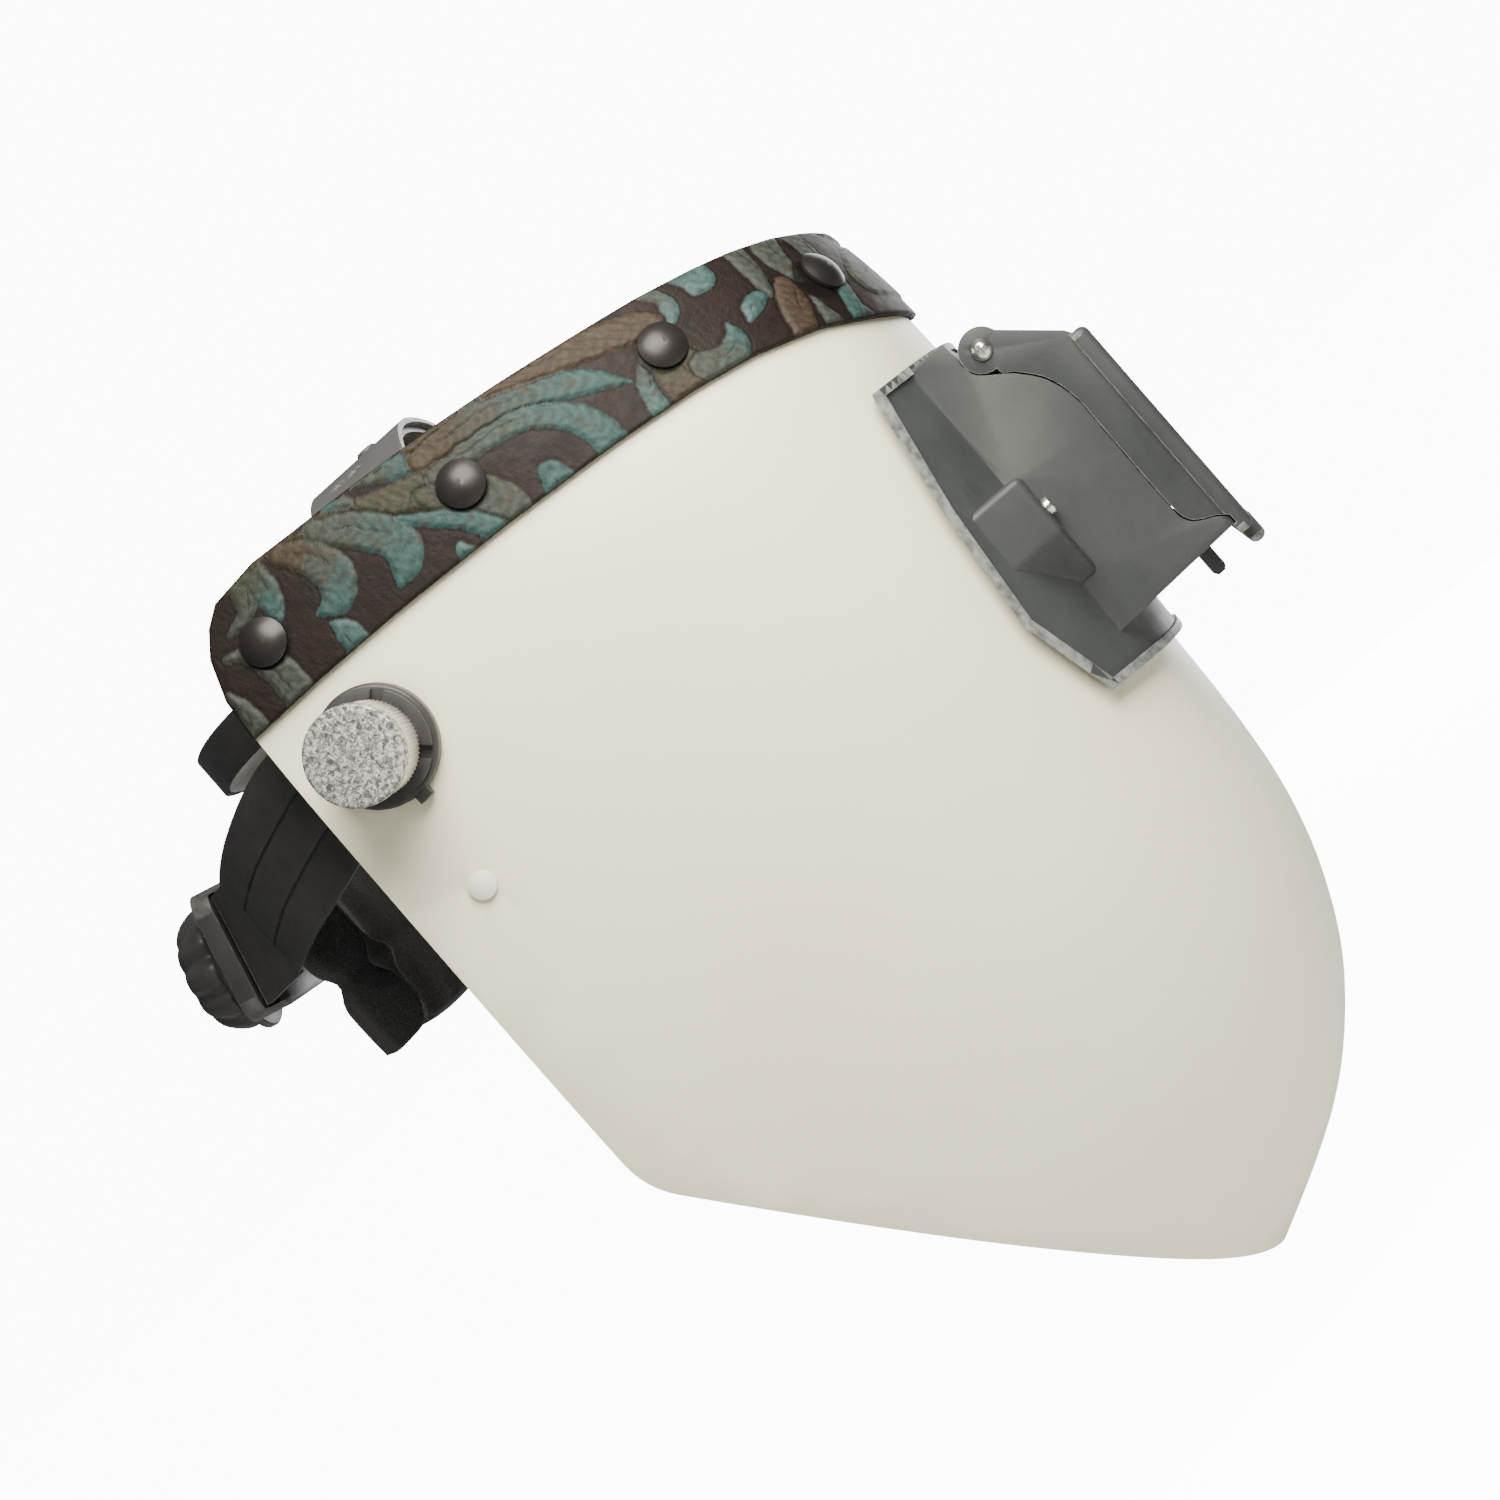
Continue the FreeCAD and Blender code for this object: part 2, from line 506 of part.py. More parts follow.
    # lift front: two cheeks, a sloping top, the lens rim and the thumb lip
    body = [lens_pt(0, 6.5), lens_pt(1.6, 6.0), lens_pt(20.2, -10.6), lens_pt(21.4, -12.4),
            lens_pt(21.4, -77.6), lens_pt(0, -77.6)]
    cheek_in, cheek_out = 54.8, HOLDER_X - 0.1
    full = side_prism(body, -cheek_out, cheek_out)
    full = full.fuse(rod(6.5, at(-cheek_out, *HINGE), at(cheek_out, *HINGE)))
    full = full.cut(side_prism(base_outline(0.4), -60, 60))
    inside = [lens_pt(-12, 4.1), lens_pt(0.2, 4.1), lens_pt(18.2, -11.8), lens_pt(20.4, -14.2),
              lens_pt(20.4, -90), lens_pt(-12, -90)]
    hollow = side_prism(inside, -cheek_in, cheek_in)
    hollow = hollow.fuse(rod(3.4, at(-cheek_in, *HINGE), at(cheek_in, *HINGE)))
    rear = side_prism([lens_pt(-9, 9), lens_pt(-0.6, 9), lens_pt(-0.6, -9), lens_pt(-9, -9)],
                      -cheek_in, cheek_in)
    frame = full.cut(hollow).cut(rear)
    rim = box(-59.4, 59.4, hx + 20.4, hx + 25.4, rz - 84, rz - 12.6)
    rim = rounded(rim, 2.3, lambda e: e.BoundBox.YMin < -hx - 25.3)
    rim = rim.cut(box(-VIEW_W / 2, VIEW_W / 2, hx + 18, hx + 30, hx_z(-VIEW_H / 2), hx_z(VIEW_H / 2)))
    lip = box(-24, 24, hx + 21.4, hx + 26.4, rz - 90.5, rz - 82)
    lip = rounded(lip, 2.3, lambda e: e.BoundBox.ZMax < rz - 90.4)
    frame = frame.fuse([rim, lip]).cut(side_prism(base_outline(0.4), -60, 60))
    frame = frame.cut(rod(HINGE_R + RUN_GAP, at(-70, *HINGE), at(70, *HINGE))).removeSplitter()
    save("lift_frame", frame)

    save("cover_plate", lens(19.0, 19.0 + COVER_T, FILTER_W, FILTER_H))
    save("filter_plate", lens(15.8, 15.8 + FILTER_T, FILTER_W, FILTER_H))
    rim = lens(14.4, 15.6, FILTER_W, FILTER_H).cut(lens(14, 16, VIEW_W, VIEW_H))
    save("filter_gasket", rim)
    clip = lens(13.2, 14.2, FILTER_W, FILTER_H - 6).cut(lens(13, 15, FILTER_W - 5, FILTER_H - 11))
    save("filter_spring", clip)


def lens(r0, r1, width, height):
    """Block centred on the lens, between two distances in front of the hinge pin."""
    return box(-width / 2, width / 2, HINGE[0] + r0, HINGE[0] + r1,
               hx_z(-height / 2), hx_z(height / 2))


def hx_z(offset):
    """Height of a line that is offset above the lens centre."""
    return HINGE[1] + LENS_MID + offset


# ---- headgear -----------------------------------------------------------------------------------
def oval(a, b, z0, z1):
    """Upright elliptical column: a across, b front to back, centred on the head."""
    ellipse = Part.Ellipse(V(0, 0, 0), max(a, b), min(a, b)).toShape()
    face = Part.Face(Part.Wire([ellipse]))
    if b > a:
        face.rotate(V(0, 0, 0), V(0, 0, 1), 90)
    face.translate(at(0, HEAD_MID, z0))
    return face.extrude(V(0, 0, z1 - z0))


def oval_ring(grow, thick, z0, z1):
    return oval(HEAD_A + grow, HEAD_B + grow, z0, z1).cut(
        oval(HEAD_A + grow - thick, HEAD_B + grow - thick, z0 - 1, z1 + 1))


def oval_x(reach, grow=0.0):
    t = (reach - HEAD_MID) / (HEAD_B + grow)
    return (HEAD_A + grow) * math.sqrt(max(0.0, 1 - t * t))


def leaned(shape):
    """Lean a part built on the nape axis (straight back) with the nape plate."""
    out = shape.copy()
    out.rotate(at(0, *RATCHET), V(1, 0, 0), RATCHET_TILT)
    return out


def riveted(shape):
    """Drill the rivet holes through a band, strap or bracket."""
    for reach, z, _ in RIVETS:
        for side in (-1, 1):
            shape = shape.cut(rod(RIVET_R + 0.15, at(side * 60, reach, z), at(side * 115, reach, z)))
    return shape


def make_headgear():
    z_low, z_high = -14.0, 42.0
    front = oval_ring(0, BAND_T, z_low, z_high)
    shape = smooth([(-24, -4), (0, -6), (30, -4), (70, 2), (112, 4)])
    shape += smooth([(112, 40), (70, 33), (30, 22), (0, 17), (-24, 15)])
    front = front.common(side_prism(shape, -120, 120))
    save("headband_front", riveted(front))

    pad = oval_ring(-BAND_T - 0.4, 6.5, 3, 41)
    pad = pad.common(side_prism([(50, 3), (118, 3), (118, 41), (50, 35)], -120, 120))
    save("sweatband", pad)

    strap_side = smooth([(20, 17), (-8, 19), (-35, 20.5), (-62, 13), (-84, 3.2)])
    strap_side += smooth([(-84, -30.3), (-62, -25), (-35, -19), (-8, -11), (20, -5)])
    strap = oval_ring(BAND_T + 0.4, BAND_T, -40, 40)
    strap = strap.common(side_prism(strap_side, -120, 120))
    strap = strap.common(box(-120, -38, -120, 60, -60, 60))
    for z_off in (-6.5, 6.5):
        groove = oval_ring(BAND_T + 0.6, 0.8, -40, 40)
        mid = [(r, (a + b) / 2 + z_off) for r, a, b in
               ((0, 18.7, -9), (-35, 20.5, -19), (-62, 13, -25), (-84, 3.2, -30.3))]
        path = [(r, z - 0.5) for r, z in mid] + [(r, z + 0.5) for r, z in reversed(mid)]
        strap = strap.cut(groove.common(side_prism(path, -120, 120)))
    strap = riveted(strap)
    reach_mid, z_mid = RATCHET
    tongue_y = (reach_mid + 3.0, reach_mid + 4.6)
    tongues = []
    for up in (1, -1):
        z0 = z_mid + (6.6 if up > 0 else -13.6)
        tongue = box(-24, 14, *tongue_y, z0, z0 + 7)
        pitch, count = 3.0, 12
        for k in range(count):
            x = -20 + k * pitch
            edge = z_mid + up * 6.6
            notch = [(x - 1.1, edge - up), (x + 1.1, edge - up), (x + 0.4, edge + up * 1.6),
                     (x - 0.4, edge + up * 1.6)]
            wire = [at(px, tongue_y[0] - 1, pz) for px, pz in notch]
            cut = Part.Face(Part.makePolygon(wire + wire[:1])).extrude(V(0, -4, 0))
            tongue = tongue.cut(cut)
        tongues.append(leaned(tongue))
    tail = leaned(box(-27.5, -19.5, tongue_y[0], tongue_y[0] + 2, z_mid - 14.9, z_mid + 20.9))
    end = [leaned(Part.Vertex(at(-27.3, r, z))).Point for r, z in
           ((tongue_y[0], z_mid + 20.9), (tongue_y[0] + 2, z_mid + 20.9),
            (tongue_y[0] + 2, z_mid - 14.9), (tongue_y[0], z_mid - 14.9))]
    back = HEAD_MID - (HEAD_B + BAND_T + 0.4) * math.sqrt(1 - (38.2 / (HEAD_A + BAND_T + 0.4)) ** 2)
    start = [at(-38.2, back, 5.3), at(-38.2, back + 2, 5.3), at(-38.2, back + 2, -29.2),
             at(-38.2, back, -29.2)]
    bend = Part.makeLoft([Part.makePolygon(q + q[:1]) for q in (start, end)], True, True)
    right = strap.fuse([bend, tail, tongues[0]]).removeSplitter()
    left = mirrored(strap.fuse([bend, tail, tongues[1]]).removeSplitter())
    save("rear_strap_right", right)
    save("rear_strap_left", left)

    cradle = oval(HEAD_A + 7.2, HEAD_B - 20, 0, 60).cut(oval(HEAD_A + 5.2, HEAD_B - 22, -1, 61))
    side = smooth([(6, 17), (-6, 27), (-20, 35), (-45, 37), (-84, 36)])
    side += smooth([(-84, 25), (-45, 24.5), (-20, 22.5), (-8, 17), (6, 6)])
    save("rear_cradle", riveted(cradle.common(side_prism(side, -120, 120))))

    make_crown_straps()
    make_brackets()
    make_ratchet()

    pad = oval_ring(-0.6, 17, -70, -6)
    pad_side = [(-54, -8), (-95, -6), (-95, -60), (-72, -68), (-56, -67), (-47, -56), (-46, -28)]
    pad = pad.common(side_prism(pad_side, -46, 46))
    save("nape_pad", pad.cut(leaned(box(-60, 60, reach_mid - 20, reach_mid + 8.5, -70, 40))))


def arch(a, top, thick, r0, r1, foot):
    """Strap that goes over the head: a rounded arch across, between two reaches."""
    def half(w, h):
        points = []
        for k in range(33):
            t = math.pi * k / 32
            side = math.copysign(abs(math.cos(t)) ** (2 / 2.25), math.cos(t))
            points.append(at(w * side, r0, foot + h * math.sin(t) ** (2 / 2.25)))
        line = Part.BSplineCurve()
        line.interpolate(points)
        edges = [line.toShape(), Part.makeLine(points[-1], points[0])]
        return Part.Face(Part.Wire(edges)).extrude(V(0, r0 - r1, 0))
    band = half(a, top - foot).cut(half(a - thick, top - foot - thick))
    band = band.common(box(-120, 120, r0, r1, foot + 2.6, 120))
    return band.cut(box(-120, 120, r0 + 16, r1 + 1, foot - 1, 30))


def make_crown_straps():
    foot, top = 8.0, CROWN_STRAP_TOP
    rear, front = CROWN_STRAP
    mid = (rear + front) / 2
    half = HEAD_A - BAND_T - 1.8
    outer = arch(half, top, 1.8, rear, front, foot)
    inner = arch(half - 2.1, top - 2.1, 1.8, rear + 2, front - 2, foot)
    right = outer.common(box(-120, 26, 0, 60, foot, 120))
    left = inner.common(box(-26, 120, 0, 60, foot, 120))
    holes = []
    for k in range(9):
        a = math.radians(90 - 58 + 14.5 * k)
        direction = V(math.cos(a), 0, math.sin(a))
        holes.append((at(direction.x * 60, mid, foot + direction.z * 50), direction))
    for origin, direction in holes:
        slot = rod(1.5, origin, origin.add(V(direction).multiply(40)))
        slot = slot.fuse(rod(1.5, origin.add(V(0, 6, 0)), origin.add(V(0, 6, 0)).add(
            V(direction).multiply(40))))
        if direction.x < 0.35:
            right = right.cut(slot)
        if direction.x > -0.35:
            left = left.cut(slot)
    save("crown_strap_right", right)
    save("crown_strap_left", left)
    peg = rod(1.4, at(0, mid, top - 6.4), at(0, mid, top + 0.6))
    cap = rod(3.4, at(0, mid, top + 0.3), at(0, mid, top + 2.2))
    cap = rounded(cap, 0.8, lambda e: e.BoundBox.ZMin > top + 2.1)
    foot_disc = rod(3.4, at(0, mid, top - 5.8), at(0, mid, top - 4.4))
    save("crown_peg", cap.fuse([peg, foot_disc]).removeSplitter())


def make_brackets():
    """Side bridges that carry the pivot bolts and the two stop arms."""
    inner, outer = 93.9, 96.6
    plate = box(-outer, -inner, -16, 18, -13, 13)
    plate = rounded(plate, 5.0, lambda e: e.BoundBox.XLength > 2 and e.BoundBox.YLength < 0.01
                    and e.BoundBox.ZLength < 0.01)
    legs = []
    for r0, r1, gap, web in (
            (24, 37, 0.3, [(-inner, 12), (-outer, 12), (-outer, 17.8), (-oval_x(27.5, 2.6), 27.5),
                           (-oval_x(25.5, 0.4), 25.5), (-inner, 16.5)]),
            (-29, -11, 2.7, [(-inner, -9), (-outer, -9), (-outer, -15.8), (-oval_x(-20, 5.0), -20),
                             (-oval_x(-15, 2.8), -15), (-inner, -13.5)])):
        legs.append(oval_ring(gap + 2.4, 2.4, 0, 12).common(box(-120, 0, r0, r1, 0, 12)))
        corners = [at(x, r, 0) for x, r in web]
        legs.append(Part.Face(Part.makePolygon(corners + corners[:1])).extrude(V(0, 0, 12)))
    arms = []
    stop_angle = math.degrees(math.atan2(STOP[1], STOP[0]))
    for angle in (stop_angle - 10.9, stop_angle + TILT_RANGE + 10.9):
        arm = box(-outer, -outer + 2.2, 6, 52, -4, 4)
        arm = rounded(arm, 3.6, lambda e: e.BoundBox.YMin < -51.9 and e.BoundBox.YLength < 0.01
                      and e.BoundBox.ZLength < 0.01)
        arm = arm.fuse(box(-outer - 4.4, -outer + 1, 42, 50, -3.8, 3.8))
        arm.rotate(V(0, 0, 0), V(1, 0, 0), -angle)
        arms.append(arm)
    bracket = plate.fuse(arms)
    bracket = bracket.fuse(legs)
    bracket = bracket.cut(Part.makeBox(8, 6.9, 6.9, V(-100, -3.45, -3.45)))
    bracket = riveted(bracket).removeSplitter()
    save("side_bracket_right", bracket)
    save("side_bracket_left", mirrored(bracket))


def fluted_ring(radius, reach, z):
    """Closed curve with ten shallow finger flutes, round the ratchet axis."""
    points = []
    for k in range(80):
        a = 2 * math.pi * k / 80
        rad = radius * (1 - 0.11 * (0.5 - 0.5 * math.cos(10 * a)) ** 2)
        points.append(at(rad * math.cos(a), reach, z + rad * math.sin(a)))
    ring = Part.BSplineCurve()
    ring.interpolate(points, PeriodicFlag=True)
    return Part.Wire([ring.toShape()])


def make_ratchet():
    r, z = RATCHET
    shell = box(-28, 28, r - 4.4, r + 8.0, z - 18, z + 23.5)
    shell = rounded(shell, 7.0, lambda e: e.BoundBox.YLength > 10 and e.BoundBox.XLength < 0.01
                    and e.BoundBox.ZLength < 0.01)
    slot = box(-40, 40, r + 1.6, r + 5.6, z - 14.4, z + 14.4)
    slot = slot.fuse(box(-40, -19, r + 1.6, r + 12, z - 15.7, z + 21.7))
    slot = slot.fuse(box(19, 40, r + 1.6, r + 12, z - 15.7, z + 21.7))
    bore = rod(5.2, at(0, r - 10, z), at(0, r + 2, z))
    save("ratchet_housing", leaned(shell.cut(slot).cut(bore)))

    cover = rod(RATCHET_R + 2, at(0, r - 4.7, z), at(0, r - 7.4, z)).cut(rod(5.2, at(0, r - 9, z), at(0, r, z)))
    cover = rounded(cover, 0.8, lambda e: e.BoundBox.YLength < 0.01 and e.BoundBox.XLength > 30)
    save("ratchet_cover", leaned(cover))

    rear = 20.0
    rings = [(7.8, RATCHET_R - 0.8), (9.4, RATCHET_R), (13, RATCHET_R - 0.6), (17, RATCHET_R - 2.8),
             (rear, RATCHET_R - 6.4)]
    knob = Part.makeLoft([fluted_ring(radius, r - back, z) for back, radius in rings], True)
    dish = rod(9.6, at(0, r - rear + 2, z), at(0, r - rear - 2, z))
    knob = knob.cut(dish).cut(rod(3.2, at(0, r, z), at(0, r - 30, z)))
    save("ratchet_knob", leaned(knob))

    teeth = 10
    outline = []
    for k in range(teeth):
        for da, rad in ((-9, 4.6), (-5, 6.0), (5, 6.0), (9, 4.6)):
            a = math.radians(36 * k + da + 18)
            outline.append(at(rad * math.cos(a), r + 2.4, z + rad * math.sin(a)))
    gear = Part.Face(Part.makePolygon(outline + outline[:1])).extrude(V(0, -2.4, 0))
    stem = rod(5.1, at(0, r + 2.5, z), at(0, r - 7.6, z))
    spigot = rod(3.15, at(0, r - 7, z), at(0, r - rear + 3, z))
    pinion = gear.fuse([stem, spigot])
    pinion = pinion.cut(rod(1.2, at(0, r - 12, z), at(0, r - 30, z))).removeSplitter()
    save("ratchet_pinion", leaned(pinion))
    head = rod(4.6, at(0, r - rear + 1.7, z), at(0, r - rear - 0.1, z))
    shank = rod(1.18, at(0, r - 13, z), at(0, r - rear + 1.5, z))
    save("ratchet_screw", leaned(head.fuse(shank).removeSplitter()))


def make_rivets():
    """Small push rivets that hold the straps and brackets to the front band."""
    rivets = []
    for reach, z, grow in RIVETS:
        inside = min(oval_x(reach + 3.7, -BAND_T), oval_x(reach - 3.7, -BAND_T)) - 0.2
        pin = rod(RIVET_R, at(-inside + 0.2, reach, z), at(-oval_x(reach) - grow, reach, z))
        cap = rod(3.6, at(-inside + 1.2, reach, z), at(-inside, reach, z))
        rivets.append(pin.fuse(cap).removeSplitter())
    save("band_rivets", Part.Compound(rivets + [mirrored(v) for v in rivets]))


make_hood()
pivot_parts()
make_holder()
make_headgear()
make_rivets()
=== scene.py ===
# %% [markdown]
# # A compact welding hood
# The real thing is a fibreglass shell that hangs from a ratchet headgear on two side knobs. A grey
# plastic holder carries the dark filter plate, and a band of tooled leather is snapped round the top
# edge. The hard parts come from the CAD frame, so they are already the right size. Here they get
# rounded edges and finishes, and the leather and the pads are modelled anew.

# %% Load the frame
import json
import math

import bpy
import bmesh
import numpy as np
from mathutils import Matrix, Vector


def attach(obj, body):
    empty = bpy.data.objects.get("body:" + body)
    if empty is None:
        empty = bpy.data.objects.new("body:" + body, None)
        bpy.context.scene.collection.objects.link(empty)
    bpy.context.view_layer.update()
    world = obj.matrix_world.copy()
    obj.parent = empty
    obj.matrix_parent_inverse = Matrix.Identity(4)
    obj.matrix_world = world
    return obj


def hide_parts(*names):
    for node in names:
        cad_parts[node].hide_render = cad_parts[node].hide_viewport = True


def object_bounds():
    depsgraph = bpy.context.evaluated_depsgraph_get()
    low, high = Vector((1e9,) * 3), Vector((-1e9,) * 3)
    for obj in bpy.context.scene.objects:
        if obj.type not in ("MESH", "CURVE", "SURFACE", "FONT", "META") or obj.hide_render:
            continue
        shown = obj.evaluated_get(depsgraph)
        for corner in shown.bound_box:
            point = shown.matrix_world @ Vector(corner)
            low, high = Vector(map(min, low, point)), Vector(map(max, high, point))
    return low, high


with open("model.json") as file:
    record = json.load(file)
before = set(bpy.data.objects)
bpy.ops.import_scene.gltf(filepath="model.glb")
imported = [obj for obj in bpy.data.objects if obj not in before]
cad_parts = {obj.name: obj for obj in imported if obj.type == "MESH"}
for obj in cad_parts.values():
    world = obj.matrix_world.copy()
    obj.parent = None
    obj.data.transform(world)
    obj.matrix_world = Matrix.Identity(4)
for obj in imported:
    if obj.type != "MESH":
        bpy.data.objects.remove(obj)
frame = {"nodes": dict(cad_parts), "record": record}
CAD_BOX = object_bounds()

nodes = frame["nodes"]
BODY_OF = {n: b for b, names in frame["record"]["behaviour"]["bodies"].items() for n in names}

# %% [markdown]
# ## Where the camera stands
# The hood is worn upright in the frame, but it is seen tipped back, the way it lies in the hand. The
# camera stands at the wearer's right, level with the hood and a little in front of it. Rolling the
# camera by 41 degrees tips the picture without moving the hood.

# %% Camera
MM = 0.001
CAMERA_AT = Vector((-990.3, -198.1, -65.4)) * MM
CAMERA_AZIMUTH, CAMERA_ROLL = 8.0, -41.0
FOCAL_SHARE = 3400 / 1500


def rolled_camera(location, azimuth_deg, elevation_deg, roll_deg, focal_share):
    """Camera at location that looks across the hood towards +X, turned and rolled by the angles."""
    data = bpy.data.cameras.new("hood_camera")
    data.sensor_width = 36.0
    data.lens = focal_share * 36.0
    data.clip_start, data.clip_end = 0.05, 20.0
    camera = bpy.data.objects.new("hood_camera", data)
    bpy.context.scene.collection.objects.link(camera)
    a, e, r = (math.radians(v) for v in (azimuth_deg, elevation_deg, roll_deg))
    look = Vector((math.cos(a) * math.cos(e), math.sin(a) * math.cos(e), -math.sin(e)))
    right = look.cross(Vector((0, 0, 1))).normalized()
    up = right.cross(look)
    x_axis = right * math.cos(r) + up * math.sin(r)
    y_axis = up * math.cos(r) - right * math.sin(r)
    camera.matrix_world = Matrix((
        (x_axis.x, y_axis.x, -look.x, location.x), (x_axis.y, y_axis.y, -look.y, location.y),
        (x_axis.z, y_axis.z, -look.z, location.z), (0, 0, 0, 1)))
    bpy.context.scene.camera = camera
    return camera


camera = rolled_camera(CAMERA_AT, CAMERA_AZIMUTH, 0.0, CAMERA_ROLL, FOCAL_SHARE)
print("camera at", [round(v, 3) for v in camera.location])

# %% [markdown]
# ## Floor and light
# A catalogue shot has no visible ground, so the floor is pale and far enough below to melt into the
# pale world. The key lamp is warm and stands close, above the hood as the picture shows it, so its light
# falls off towards the chin. It could stand far away, but then the whole shell would look equally bright.
# A weak fill and a lamp on the far side keep the other views readable.

# %% Floor, world and lamps
def pick_nothing():
    for each in bpy.context.selected_objects:
        each.select_set(False)


def only(obj):
    pick_nothing()
    obj.select_set(True)
    bpy.context.view_layer.objects.active = obj


def apply_modifier(obj, kind, **settings):
    """Add one modifier to obj, set it and apply it."""
    only(obj)
    modifier = obj.modifiers.new(kind.lower(), kind)
    for key, value in settings.items():
        setattr(modifier, key, value)
    bpy.ops.object.modifier_apply(modifier=modifier.name)


FLOOR_DROP = 0.02       # metres below the hood
SKY_LIGHT = 0.16        # soft light from the world on the hood
BACKDROP = 12.0         # how bright floor and world look, without lighting anything
pick_nothing()
bpy.ops.mesh.primitive_plane_add(size=30, location=(0, 0, CAD_BOX[0][2] - FLOOR_DROP))
floor = bpy.context.active_object
floor.name = "pale_floor"
floor_paint = bpy.data.materials.new("pale_floor_paint")
floor_paint.use_nodes = True
floor_shader = floor_paint.node_tree.nodes["Principled BSDF"]
floor_shader.inputs["Base Color"].default_value = (0.8, 0.8, 0.8, 1)
floor_shader.inputs["Roughness"].default_value = 0.9
floor_shader.inputs["Emission Color"].default_value = (1, 1, 1, 1)
seen = floor_paint.node_tree.nodes.new("ShaderNodeLightPath")
glow = floor_paint.node_tree.nodes.new("ShaderNodeMath")
glow.operation = "MULTIPLY"
glow.inputs[1].default_value = BACKDROP
floor_paint.node_tree.links.new(seen.outputs["Is Camera Ray"], glow.inputs[0])
floor_paint.node_tree.links.new(glow.outputs[0], floor_shader.inputs["Emission Strength"])
floor.data.materials.append(floor_paint)

world = bpy.data.worlds.new("studio")
bpy.context.scene.world = world
world.use_nodes = True
sky = world.node_tree
soft = sky.nodes["Background"]
soft.inputs["Color"].default_value = (1, 1, 1, 1)
soft.inputs["Strength"].default_value = SKY_LIGHT
white = sky.nodes.new("ShaderNodeBackground")
white.inputs["Color"].default_value = (1, 1, 1, 1)
white.inputs["Strength"].default_value = BACKDROP
seen, choose = sky.nodes.new("ShaderNodeLightPath"), sky.nodes.new("ShaderNodeMixShader")
sky.links.new(seen.outputs["Is Camera Ray"], choose.inputs["Fac"])
sky.links.new(soft.outputs["Background"], choose.inputs[1])
sky.links.new(white.outputs["Background"], choose.inputs[2])
sky.links.new(choose.outputs["Shader"], sky.nodes["World Output"].inputs["Surface"])


def lamp(name, offset, size, watts, tint=(1, 1, 1)):
    """Square area lamp at an offset from the hood's middle, aimed at it."""
    data = bpy.data.lights.new(name, "AREA")
    data.shape = "SQUARE"
    data.size = size
    data.energy = watts
    data.color = tint
    obj = bpy.data.objects.new(name, data)
    bpy.context.scene.collection.objects.link(obj)
    middle = Vector((0, -0.04, -0.08))
    obj.location = middle + Vector(offset)
    obj.rotation_euler = (-Vector(offset)).to_track_quat("-Z", "Y").to_euler()
    return obj


up_in_picture = camera.matrix_world.to_3x3() @ Vector((0, 1, 0))
right_in_picture = camera.matrix_world.to_3x3() @ Vector((1, 0, 0))
to_camera = camera.matrix_world.to_3x3() @ Vector((0, 0, 1))
lamp("key", up_in_picture * 0.42 + to_camera * 0.42 - right_in_picture * 0.13, 0.4, 12.5, (1.0, 0.94, 0.84))
lamp("fill", to_camera * 1.4 - right_in_picture * 0.9, 1.4, 2)
lamp("rim", up_in_picture * 0.6 - to_camera * 1.1 + right_in_picture * 0.3, 0.9, 16)
print("up in the picture is", [round(v, 2) for v in up_in_picture])

# %% [markdown]
# ## Finishes
# Every finish is a small node tree on object coordinates, so a pattern sits still on its piece. The
# shared helper makes a noise at a real size in millimetres and feeds it to colour, roughness or bump.

